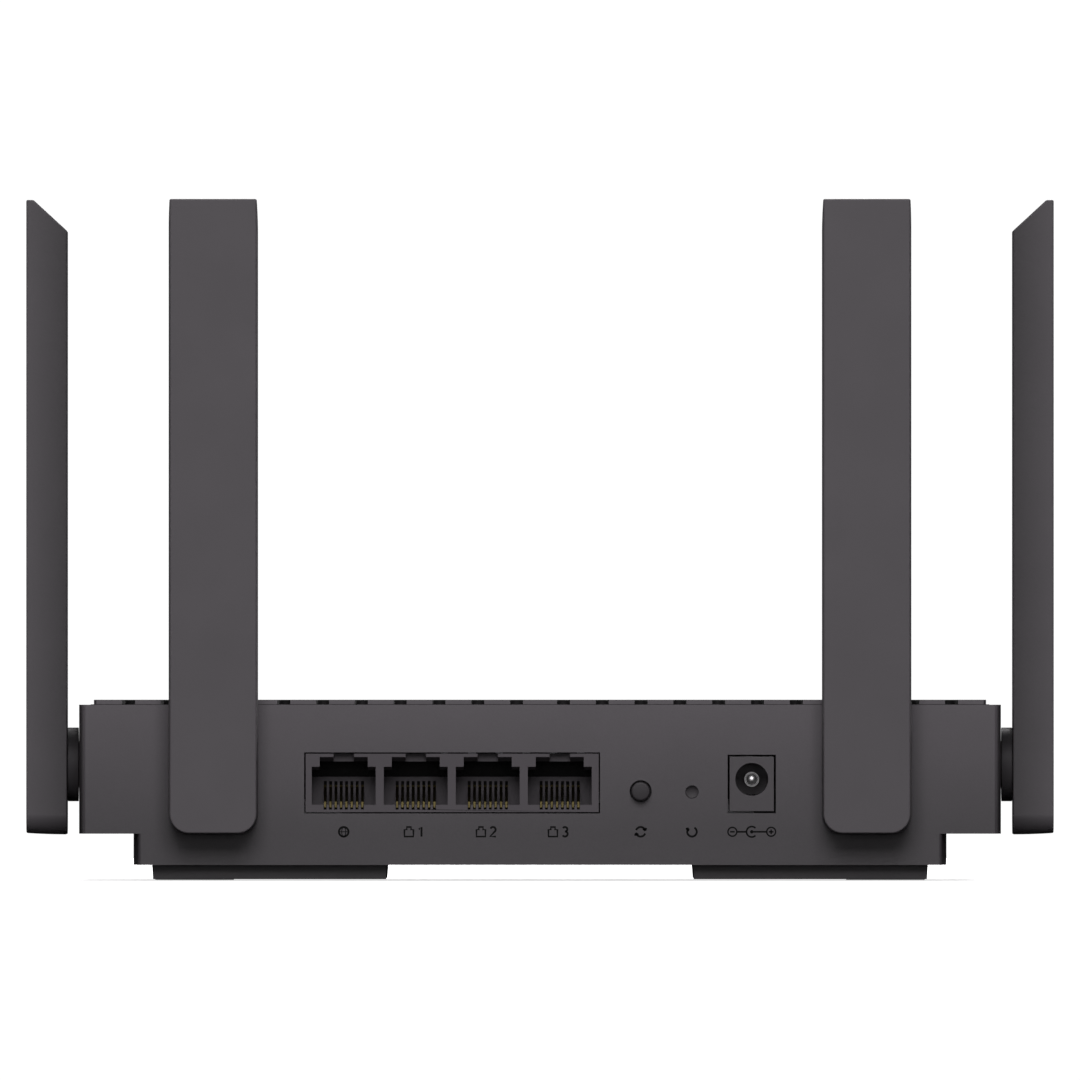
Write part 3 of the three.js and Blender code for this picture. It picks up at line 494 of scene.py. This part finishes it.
def housing_plan():
    """The housing's outline from above: round front corners, and sides that draw in at the rear."""
    low, high = SHELL_LOW, SHELL_HIGH
    front = arc(high.x - FRONT_EDGE_R, low.y + FRONT_EDGE_R, FRONT_EDGE_R, -90, 0, 10)
    right = front + drawn_in(high.x, TAPER["upper"])
    return right + [(-x, y) for x, y in reversed(right)]


def rear_lip():
    """The rear wall below the step, with its side returns and its own strip of floor."""
    low_z = SHELL_LOW.z
    lip_front = REAR_Y - TAPER["depth"]
    right = drawn_in(LOWER_HALF, TAPER["lower"])
    made = prism(right + [(-x, y) for x, y in reversed(right)], "z", low_z, STEP_Z + 1)
    inner = LOWER_HALF - SIDE_WALL
    hollow = block((-inner, lip_front - 1, low_z + FLOOR_T), (inner, REAR_Y - REAR_WALL, STEP_Z + 2))
    return cut(made, [hollow])


def housing_shell():
    low, high = SHELL_LOW, SHELL_HIGH
    inner_x = high.x - SIDE_WALL
    inner_front = low.y + SIDE_WALL
    inner_rear = REAR_Y - REAR_WALL
    made = prism(housing_plan(), "z", STEP_Z, high.z)
    hollow = rounded(-inner_x, inner_front, inner_x, inner_rear, (1.5, 1.5, 0, 0))
    opening_low = (-LOWER_HALF, TRAY_LOW.y - TRAY_GAP, STEP_Z - 1)
    opening_high = (LOWER_HALF, inner_rear, STEP_Z + FLOOR_T + 1)
    cut(made, [prism(hollow, "z", STEP_Z + FLOOR_T, high.z + 1), block(opening_low, opening_high)])
    add(made, [rear_lip(), panel_ledge(inner_x, inner_front, inner_rear)])
    return cut(made, rear_openings() + pivot_holes() + light_holes())


def panel_ledge(inner_x, inner_front, inner_rear):
    """The step inside the walls that the top panel rests on."""
    width = 1.3
    outline = rounded(-inner_x - 0.5, inner_front - 0.5, inner_x + 0.5, inner_rear + 0.5)
    ledge = prism(outline, "z", LEDGE_Z - 1.2, LEDGE_Z)
    return cut(ledge, [block(
        (-inner_x + width, inner_front + width, LEDGE_Z - 2),
        (inner_x - width, inner_rear - width, LEDGE_Z + 1),
    )])


def rear_openings():
    fit = 0.25
    socket_end_fit = 0.3
    jack_fit = 0.35
    tools = [
        block(
            (SOCKET_LOW.x - fit, CUT_FRONT, SOCKET_LOW.z - fit),
            (SOCKET_HIGH.x + socket_end_fit, CUT_REAR, SOCKET_HIGH.z + fit),
        ),
        block(
            (JACK_LOW.x - jack_fit, CUT_FRONT, JACK_LOW.z - jack_fit),
            (JACK_HIGH.x + jack_fit, CUT_REAR, JACK_HIGH.z + jack_fit),
        ),
    ]
    for node, sizes in BUTTONS.items():
        x, z = middle_of(node)
        tools.append(cylinder("y", x, z, sizes["hole"], CUT_FRONT, CUT_REAR))
    return tools


def pivot_holes():
    inward = 4
    outward = 1
    tools = []
    for joint in antenna_joints():
        x, y, z = [v / MM for v in joint["pos_m"]]
        if on_rear_wall(joint):
            tools.append(cylinder("y", x, z, HUB_HOLE_R, y - inward, y + outward))
        else:
            side = math.copysign(1, x)
            low, high = sorted((x - inward * side, x + outward * side))
            tools.append(cylinder("x", y, z, HUB_HOLE_R, low, high))
    return tools


def light_holes():
    low, high = span("light_guide")
    count = 5
    margin = 3
    pitch = (high.x - low.x - 2 * margin) / (count - 1)
    half_x = 1.3
    half_z = 0.65
    z = (low.z + high.z) / 2
    tools = []
    for i in range(count):
        x = low.x + margin + i * pitch
        tools.append(block((x - half_x, low.y - 1, z - half_z), (x + half_x, low.y + 4, z + half_z)))
    return tools


def top_panel():
    """The panel: a web within the walls, a plate over it, and grooves with slots in most of them."""
    low, high = PANEL_LOW, PANEL_HIGH
    corner = 1.2
    plate = prism(rounded(low.x, low.y, high.x, high.y, (corner, corner, 0, 0)), "z", GROOVE["floor"], high.z)
    rear = REAR_Y - REAR_WALL - 0.2
    web = rounded(low.x, low.y, high.x, rear, (corner, corner, 0, 0))
    add(plate, [prism(web, "z", low.z, GROOVE["floor"] + 0.1)])
    half = GROOVE["width"] / 2
    end_r = half - SHORT_OF_ROUND
    start = REAR_Y - GROOVE["length"]
    slot_half = SLOT["half"]
    slot_radii = (slot_half - SHORT_OF_ROUND,) * 4
    slot_start = REAR_Y - SLOT["front"]
    slot_end = REAR_Y - SLOT["rear"]
    grooves = []
    slots = []
    for x in groove_centres():
        outline = rounded(x - half, start, x + half, CUT_REAR, (end_r, end_r, 0, 0))
        grooves.append(prism(outline, "z", GROOVE["floor"], high.z + 1))
        if abs(x) < high.x - GROOVE["pitch"]:
            outline = rounded(x - slot_half, slot_start, x + slot_half, slot_end, slot_radii, steps=4)
            slots.append(prism(outline, "z", low.z - 1, high.z))
    cut(plate, grooves)
    return cut(plate, slots)


def darken_inside(made, low, high):
    """Faces whose middles lie within a box, given in millimetres, are painted near-black as shade."""
    made.data.materials.append(MATERIALS["groove"])
    for face in made.data.polygons:
        if all(a * MM < middle < b * MM for a, middle, b in zip(low, face.center, high)):
            face.material_index = 1


def darken_grooves(panel):
    """The insides of the grooves and slots are painted near-black as shade."""
    side = PANEL_HIGH.x - 0.3
    start = REAR_Y - GROOVE["length"] - 0.2
    end = REAR_Y - 0.5
    darken_inside(panel, (-side, start, GROOVE["floor"] - 0.1), (side, end, PANEL_HIGH.z - 0.2))


def darken_openings(shell):
    """The walls of the openings in the rear wall are painted near-black as shade."""
    side = SOCKET_HIGH.x + 1
    darken_inside(shell, (-side, REAR_Y - REAR_WALL - 0.1, STEP_Z), (side, REAR_Y - 0.15, LEDGE_Z))


def build_housing():
    shell = soften(housing_shell(), 0.14)
    piece(shell, "housing_shell", "housing", MATERIALS["casing"], ["main_shell"])
    darken_openings(shell)
    panel = soften(top_panel(), 0.1)
    piece(panel, "grooved_top", "housing", MATERIALS["casing"], ["top_panel"])
    darken_grooves(panel)
    keep("base_tray", MATERIALS["casing"], 0.2)
    for side in ("left", "right"):
        keep(f"foot_rail_{side}", MATERIALS["foot"], 0.12)
    for place in ("front_left", "front_right", "rear_left", "rear_right"):
        keep(f"foot_pad_{place}", MATERIALS["rubber"], 0.12)
        keep(f"case_screw_{place}", MATERIALS["steel"])


# ---------------------------------------------------------------- sockets, jack and buttons
def jack_housing():
    """The jack's body: its bore with a small lead-in, the hole for the pin's root and the leaf's slot."""
    low, high = JACK_LOW, JACK_HIGH
    made = block(low, high)
    soften(made, 0.12)
    back = REAR_Y - JACK["bore_depth"]
    x, z, r = JACK_X, JACK["z"], JACK["bore_r"]
    lead_in = loft([
        [(u, REAR_Y - 0.2, v) for u, v in circle(x, z, r - 0.01)],
        [(u, REAR_Y + 0.05, v) for u, v in circle(x, z, r + 0.1)],
    ])
    leaf_slot = block(
        (x - JACK["leaf_half"], back, JACK["leaf_z"]),
        (x + JACK["leaf_half"], REAR_Y - JACK["leaf_front"], z),
    )
    return cut(made, [
        cylinder("y", x, z, r, back, CUT_REAR),
        lead_in,
        cylinder("y", x, z, JACK["root_r"], low.y - 1, back + 1),
        leaf_slot,
    ])


def paint_tip_highlight(pin):
    """Painted highlight: the domed tip is given a brighter metal than the ring round it."""
    pin.data.materials.append(MATERIALS["tip"])
    for face in pin.data.polygons:
        reach = math.hypot(face.center.x - JACK_X * MM, face.center.z - JACK["z"] * MM)
        if reach < TIP_R * MM and face.center.y > (REAR_Y - JACK["bore_depth"] / 2) * MM:
            face.material_index = 1


def jack_pin():
    """The pin: a root, a barrel with a ring cut into its end, and a domed tip inside the ring."""
    low, high = span("dc_jack_pin")
    root_r = 0.8
    barrel_r = 1.45
    ring_r = 1.2
    tip = high.y
    back = REAR_Y - JACK["bore_depth"] + 0.1
    barrel = tip - 0.3
    ring_floor = barrel - 1.0
    made = lathe([
        (0, low.y),
        (root_r, low.y),
        (root_r, back),
        (barrel_r, back),
        (barrel_r, barrel - 0.1),
        (barrel_r - 0.05, barrel),
        (ring_r + 0.07, barrel),
        (ring_r + 0.02, barrel - 0.06),
        (ring_r, ring_floor),
        (TIP_R, ring_floor),
        (TIP_R - 0.02, barrel - 0.4),
        (0.88, barrel - 0.12),
        (0.66, barrel + 0.1),
        (0.36, tip - 0.05),
        (0, tip),
    ])
    made.data.transform(Matrix.Translation((JACK_X, 0, JACK["z"])))
    return made


def button(node):
    """A turned button: a stem, a flange behind the wall, and a cap whose face is crowned or dished."""
    low, high = span(node)
    cap, stem, crown, edge = [BUTTONS[node][size] for size in ("cap", "stem", "crown", "edge")]
    flange = cap + 0.9
    flange_top = REAR_Y - REAR_WALL - 0.3
    flange_low = flange_top - 1.2
    rim = high.y - crown
    inner = cap - edge
    profile = [(0, low.y), (stem, low.y), (stem, flange_low)]
    profile += [(flange, flange_low), (flange, flange_top), (cap, flange_top)]
    profile += arc(inner, rim - edge, edge, 0, 80, 6)
    profile += [(inner * (1 - i / 6), rim + crown * (1 - (1 - i / 6) ** 2)) for i in range(1, 7)]
    made = lathe(profile, 48)
    x, z = middle_of(node)
    made.data.transform(Matrix.Translation((x, 0, z)))
    return made


def build_sockets():
    keep("network_socket", MATERIALS["socket"], 0.05)
    for port in PORTS:
        keep(f"contacts_{port}", MATERIALS["gold"], 0.04, 1)
    piece(jack_housing(), "jack_housing", "housing", MATERIALS["jack"], ["dc_jack_housing"])
    pin = piece(jack_pin(), "jack_pin", "housing", MATERIALS["pin"], ["dc_jack_pin"])
    paint_tip_highlight(pin)
    keep("dc_jack_leaf", MATERIALS["steel"], 0.04, 1)
    for node in BUTTONS:
        piece(button(node), f"{node}_cap", node, MATERIALS["button"], [node])


# ---------------------------------------------------------------- what shows through the vents
def build_electronics():
    """The inner parts, each with its material and the width of its softened edges in millimetres."""
    looks = {
        "main_board": ("board", 0.1),
        "soc_chip": ("chip", 0.1),
        "thermal_pad": ("rubber", 0.05),
        "heatsink": ("aluminium", 0.1),
        "ram_chip": ("chip", 0.1),
        "rf_shield_2_4_ghz": ("tin", 0.3),
        "rf_shield_5_ghz": ("tin", 0.3),
        "lan_transformer_1": ("chip", 0.2),
        "lan_transformer_2": ("chip", 0.2),
        "power_inductor": ("chip", 0.5),
        "capacitor_1": ("aluminium", 0),
        "capacitor_2": ("aluminium", 0),
        "wps_switch": ("chip", 0.1),
        "reset_switch": ("chip", 0.1),
        "board_screw_left": ("steel", 0),
        "board_screw_right": ("steel", 0),
        "light_guide": ("lens", 0.1),
    }
    for node, (material, width) in looks.items():
        keep(node, MATERIALS[material], width)


# ---------------------------------------------------------------- antennas, each made on a pivot along +Y
def blade_ring(depth):
    """The blade's outline at a depth from its inner face: its sides draw in along a shallow curve."""
    inset = ANTENNA["draft"] * (depth / ANTENNA["thick"]) ** 2
    half = ANTENNA["half"] - inset
    r = ANTENNA["corner"] - inset / 2
    y = ANTENNA["gap"] + depth
    outline = rounded(-half, -ANTENNA["down"] + inset, half, ANTENNA["up"], (r, r, 0, 0), steps=12)
    return [(u, y, v) for u, v in outline]


def cover_outline(margin):
    half = ANTENNA["half"] - BLADE_WALL - margin
    r = ANTENNA["corner"] - BLADE_WALL
    bottom = -ANTENNA["down"] + ANTENNA["draft"] + BLADE_WALL + margin
    return rounded(-half, bottom, half, COVER_TOP - margin, (r, r, 0.6, 0.6))


def blade():
    rings = 8
    made = loft([blade_ring(ANTENNA["thick"] * i / rings) for i in range(rings + 1)])
    inner = ANTENNA["gap"]
    outer = inner + ANTENNA["thick"]
    slope = BEVEL_DROP / (ANTENNA["thick"] - BEVEL_FLAT)
    top = ANTENNA["up"]
    tip = [
        (outer - BEVEL_FLAT, top),
        (inner - 1, top - BEVEL_DROP - slope),
        (inner - 1, top + 1),
        (outer - BEVEL_FLAT + 1 / slope, top + 1),
    ]
    cut(made, [prism(tip, "x", -20, 20)])
    soften(made, 0.28, 3)
    return cut(made, [prism(cover_outline(0), "y", inner - 1, outer - BLADE_WALL)])


def cover():
    inner = ANTENNA["gap"]
    made = prism(cover_outline(0.1), "y", inner, inner + COVER_T)
    cut(made, [cylinder("y", 0, 0, HUB["neck"] + 0.2, inner - 1, inner + 3)])
    return soften(made, 0.12)


def hub(wall):
    """The pivot: a snap head inside the wall, a spigot, the disk in the gap, and a flange in the blade."""
    gap = ANTENNA["gap"]
    cover_back = gap + COVER_T
    return lathe([
        (HUB["bore"], -wall - 1.7),
        (HUB["head"] - 0.2, -wall - 1.7),
        (HUB["head"], -wall - 1.5),
        (HUB["head"], -wall - 0.3),
        (HUB["spigot"], -wall - 0.3),
        (HUB["spigot"], 0.15),
        (HUB["disk"] - 0.07, 0.15),
        (HUB["disk"], 0.22),
        (HUB["disk"], gap - 0.17),
        (HUB["disk"] - 0.07, gap - 0.1),
        (HUB["neck"], gap - 0.1),
        (HUB["neck"], cover_back + 0.1),
        (HUB["flange"], cover_back + 0.1),
        (HUB["flange"], cover_back + 1.2),
        (HUB["bore"], cover_back + 1.2),
    ], 72)


def mark_outward(made):
    """Stores how far each point lies from the inner face, as a share of the blade's thickness."""
    values = [(vertex.co.y - ANTENNA["gap"]) / ANTENNA["thick"] for vertex in made.data.vertices]
    marks = made.data.attributes.new("outward", "FLOAT", "POINT")
    marks.data.foreach_set("value", values)


def build_antennas():
    for joint in antenna_joints():
        place = joint["child"].removeprefix("antenna_")
        axis = joint["axis"]
        turn = math.atan2(-axis[0], axis[1])
        pivot = Vector(joint["pos_m"]) / MM
        stand = Matrix.Translation(pivot) @ Matrix.Rotation(turn, 4, "Z")
        wall = REAR_WALL if on_rear_wall(joint) else SIDE_WALL
        parts = (
            ("blade", blade(), "antenna_casing", "antenna", "antenna_shell"),
            ("inner_cover", cover(), "antenna_casing", "antenna", "antenna_cover"),
            ("pivot", hub(wall), "pivot_hub", "hub", "antenna_hub"),
        )
        for label, made, slot, material, node in parts:
            mark_outward(made)
            made.data.transform(stand)
            name = f"{label}_{place}"
            piece(made, name, joint["child"], MATERIALS[material], [f"{node}_{place}"])
        keep(f"antenna_element_{place}", MATERIALS["board"], 0.05)
        keep(f"antenna_lead_{place}", MATERIALS["cable"])


# ---------------------------------------------------------------- printed marks under the sockets
MARK_Z = 9.2
MARK_H = 2.2
INK_T = 0.02
STROKE = 0.38
FINE_STROKE = 0.16
MARK_R = MARK_H / 2 - STROKE / 2
MARK_TOP = MARK_Z + MARK_R
MARK_LOW = MARK_Z - MARK_R


def ribbon(bm, points, width=STROKE, closed=False):
    """A flat printed stroke on the rear face, with mitred joints."""
    count = len(points)
    sides = []
    for i, (u, v) in enumerate(points):
        before = points[i - 1] if i > 0 or closed else points[i]
        after = points[(i + 1) % count] if i < count - 1 or closed else points[i]
        run = Vector((after[0] - before[0], after[1] - before[1])).normalized()
        side = Vector((-run.y, run.x)) * width / 2
        sides.append(((u + side.x, v + side.y), (u - side.x, v - side.y)))
    rows = []
    for a, b in sides:
        rows.append([
            bm.verts.new((a[0], REAR_Y + INK_T, a[1])), bm.verts.new((b[0], REAR_Y + INK_T, b[1])),
            bm.verts.new((b[0], REAR_Y - INK_T, b[1])), bm.verts.new((a[0], REAR_Y - INK_T, a[1])),
        ])
    pairs = list(zip(rows, rows[1:])) + ([(rows[-1], rows[0])] if closed else [])
    for low, high in pairs:
        for i in range(4):
            j = (i + 1) % 4
            bm.faces.new((low[i], low[j], high[j], high[i]))
    if not closed:
        bm.faces.new(rows[0])
        bm.faces.new(rows[-1])


def arrow_arc(bm, x, radius, start, end):
    """An arc that ends in an open arrowhead."""
    barb = 0.55
    ribbon(bm, arc(x, MARK_Z, radius, start, end, 20))
    tip_x, tip_z = arc(x, MARK_Z, radius, start, end, 1)[1]
    way = math.radians(end + math.copysign(90, end - start))
    for swing in (145, -145):
        a = way + math.radians(swing)
        ribbon(bm, [(tip_x, tip_z), (tip_x + barb * math.cos(a), tip_z + barb * math.sin(a))])


def numeral(bm, value, x):
    """1, 2 or 3 in even strokes. The rear face is seen from behind, so its left is +X."""
    half_width = 0.55
    bowl_r = 0.5
    small_bowl_r = 0.44
    if value == 1:
        paths = [[(-0.4, MARK_TOP - 0.45), (0.1, MARK_TOP), (0.1, MARK_LOW)]]
    elif value == 2:
        bowl = arc(0, MARK_TOP - bowl_r, bowl_r, 160, -40, 14)
        paths = [bowl + [(-half_width, MARK_LOW), (half_width, MARK_LOW)]]
    else:
        upper = arc(0, MARK_TOP - small_bowl_r, small_bowl_r, 150, -90, 14)
        lower = arc(0, MARK_LOW + bowl_r, bowl_r, 90, -150, 14)
        paths = [upper, lower]
    for path in paths:
        ribbon(bm, [(x - u, v) for u, v in path])


def plug_symbol(bm, x):
    """A small outline of a network plug."""
    half = 0.85
    latch = 0.4
    shoulder = MARK_TOP - 0.5
    shape = [(-half, MARK_LOW), (half, MARK_LOW), (half, shoulder), (latch, shoulder)]
    shape += [(latch, MARK_TOP), (-latch, MARK_TOP), (-latch, shoulder), (-half, shoulder)]
    ribbon(bm, [(x + u, v) for u, v in shape], closed=True)


def polarity_symbol(bm, x):
    """The usual drawing of a round plug with its centre contact positive.

    Minus is on +X, the viewer's left.
    """
    reach = 3.7
    ring = 0.85
    sleeve = 1.0
    dot = 0.17
    sign = 0.45
    thin = 0.28
    thick = 0.32
    for side in (1, -1):
        ribbon(bm, circle(x + side * reach, MARK_Z, ring, 24), thin, closed=True)
        ribbon(bm, [(x + side * reach - sign, MARK_Z), (x + side * reach + sign, MARK_Z)], thin)
    ribbon(bm, [(x - reach, MARK_Z - sign), (x - reach, MARK_Z + sign)], thin)
    ribbon(bm, arc(x, MARK_Z, sleeve, -135, 135, 24), thick)
    ribbon(bm, [(x + sleeve, MARK_Z), (x + reach - ring, MARK_Z)], thick)
    ribbon(bm, [(x - reach + ring, MARK_Z), (x, MARK_Z)], thick)
    ribbon(bm, circle(x, MARK_Z, dot, 16), thick, closed=True)


def globe(bm, x):
    """A circle with a narrow meridian and an equator."""
    meridian = 0.42
    ribbon(bm, circle(x, MARK_Z, MARK_R, 36), closed=True)
    narrow = [(x + meridian * u, MARK_Z + v) for u, v in circle(0, 0, MARK_R, 36)]
    ribbon(bm, narrow, FINE_STROKE, closed=True)
    ribbon(bm, [(x - MARK_R, MARK_Z), (x + MARK_R, MARK_Z)], FINE_STROKE)


def build_marks():
    bm = bmesh.new()
    globe(bm, PORT_X[0])
    for value, x in enumerate(PORT_X[1:], start=1):
        plug_symbol(bm, x + 1.3)
        numeral(bm, value, x - 1.0)
    arrows = {"wps_button": [(20, 165), (200, 345)], "reset_button": [(120, 405)]}
    for node, spans in arrows.items():
        for start, end in spans:
            arrow_arc(bm, middle_of(node)[0], MARK_R, start, end)
    polarity_symbol(bm, JACK_X)
    bmesh.ops.recalc_face_normals(bm, faces=bm.faces)
    piece(to_object(bm), "printed_marks", "housing", MATERIALS["ink"])


# ---------------------------------------------------------------- stage
FLOOR_R = 1.2
FLOOR_DROP = 0.0002  # keeps the floor clear of the feet, in metres
FLOOR_NEAR = 0.15  # the floor starts to brighten this far out, in metres
FLOOR_GLOW = 0.72
RIM_GLOW = 1.1
LIGHT_TINT = (1.0, 0.975, 1.0)


def build_floor():
    """A pale disc that brightens towards its rim, where it runs into the white backdrop."""
    bm = bmesh.new()
    bmesh.ops.create_circle(bm, cap_ends=True, radius=FLOOR_R, segments=96)
    floor = to_object(bm)
    floor.name = "studio_floor"
    floor.location.z = -FLOOR_DROP
    material, nodes, links, shader = node_material("studio_floor")
    shader.inputs["Base Color"].default_value = (0.9, 0.9, 0.9, 1)
    shader.inputs["Roughness"].default_value = 0.9
    shader.inputs["Specular IOR Level"].default_value = 0.0
    shader.inputs["Emission Color"].default_value = (1, 1, 1, 1)
    where = nodes.new("ShaderNodeTexCoord")
    distance = nodes.new("ShaderNodeVectorMath")
    distance.operation = "LENGTH"
    ramp = nodes.new("ShaderNodeMapRange")
    ramp.interpolation_type = "SMOOTHSTEP"
    ramp.inputs["From Min"].default_value = FLOOR_NEAR
    ramp.inputs["From Max"].default_value = FLOOR_R * 0.8
    ramp.inputs["To Min"].default_value = FLOOR_GLOW
    ramp.inputs["To Max"].default_value = RIM_GLOW
    links.new(where.outputs["Object"], distance.inputs[0])
    links.new(distance.outputs["Value"], ramp.inputs["Value"])
    links.new(ramp.outputs["Result"], shader.inputs["Emission Strength"])
    floor.data.materials.append(material)
    floor.visible_diffuse = False
    floor.visible_glossy = False


def area_light(name, location, target, size, energy):
    light = bpy.data.lights.new(name, "AREA")
    light.shape = "RECTANGLE"
    light.size, light.size_y = size
    light.energy = energy
    light.color = LIGHT_TINT
    made = bpy.data.objects.new(name, light)
    made.location = location
    made.rotation_euler = (Vector(target) - Vector(location)).to_track_quat("-Z", "Y").to_euler()
    bpy.context.scene.collection.objects.link(made)


def build_world():
    """White where the camera looks past the object, and a soft light from above for everything else."""
    world = bpy.data.worlds.new("studio")
    bpy.context.scene.world = world
    world.use_nodes = True
    nodes = world.node_tree.nodes
    links = world.node_tree.links
    output = nodes["World Output"]
    backdrop = nodes["Background"]
    backdrop.inputs["Color"].default_value = (1, 1, 1, 1)
    backdrop.inputs["Strength"].default_value = 1.05
    where = nodes.new("ShaderNodeTexCoord")
    parts = nodes.new("ShaderNodeSeparateXYZ")
    ramp = nodes.new("ShaderNodeMapRange")
    ramp.inputs["From Min"].default_value = 0.05
    ramp.inputs["From Max"].default_value = 1.0
    ramp.inputs["To Min"].default_value = 0.02
    ramp.inputs["To Max"].default_value = 0.5
    sky = nodes.new("ShaderNodeBackground")
    path = nodes.new("ShaderNodeLightPath")
    mix = nodes.new("ShaderNodeMixShader")
    links.new(where.outputs["Generated"], parts.inputs["Vector"])
    links.new(parts.outputs["Z"], ramp.inputs["Value"])
    links.new(ramp.outputs["Result"], sky.inputs["Strength"])
    links.new(path.outputs["Is Camera Ray"], mix.inputs["Fac"])
    links.new(sky.outputs["Background"], mix.inputs[1])
    links.new(backdrop.outputs["Background"], mix.inputs[2])
    links.new(mix.outputs["Shader"], output.inputs["Surface"])


def build_lights():
    middle = (0, 0, 0.06)
    area_light("rear_key", (0, 2.1, 1.2), middle, (1.2, 1.2), 36)
    area_light("rear_fill", (0, 2.4, 0.1), middle, (1.8, 0.6), 7)
    area_light("top_softbox", (0, -0.6, 1.5), middle, (0.9, 0.9), 6)
    area_light("front_softbox", (-0.6, -1.5, 1.6), middle, (1.2, 0.8), 45)
    for side in (-1, 1):
        area_light(f"side_{side}", (2.0 * side, -0.8, 0.8), middle, (0.8, 0.8), 8)


CAMERA_LENS = 1500
CAMERA_Z = 0.0335  # level with the tops of the walls, so no upper surface shows
SENSOR = 36
FRAME_WIDTH = 0.20605  # what the picture's width spans at the rear face, in metres
FRAME_CENTRE_Z = 0.06487


def build_camera():
    camera = bpy.data.objects.new("camera", bpy.data.cameras.new("camera"))
    camera.data.lens = CAMERA_LENS
    camera.data.sensor_width = SENSOR
    distance = FRAME_WIDTH * CAMERA_LENS / SENSOR
    camera.data.clip_start = 0.1
    camera.data.clip_end = distance * 3
    camera.location = (0, REAR_Y * MM + distance, CAMERA_Z)
    tilt = math.atan((FRAME_CENTRE_Z - CAMERA_Z) / distance)
    camera.rotation_euler = (math.pi / 2 + tilt, 0, math.pi)
    bpy.context.scene.collection.objects.link(camera)
    bpy.context.scene.camera = camera
    bpy.context.scene.view_settings.view_transform = "Standard"


build_camera()
build_world()
build_lights()
build_floor()
build_housing()
build_sockets()
build_electronics()
build_antennas()
build_marks()
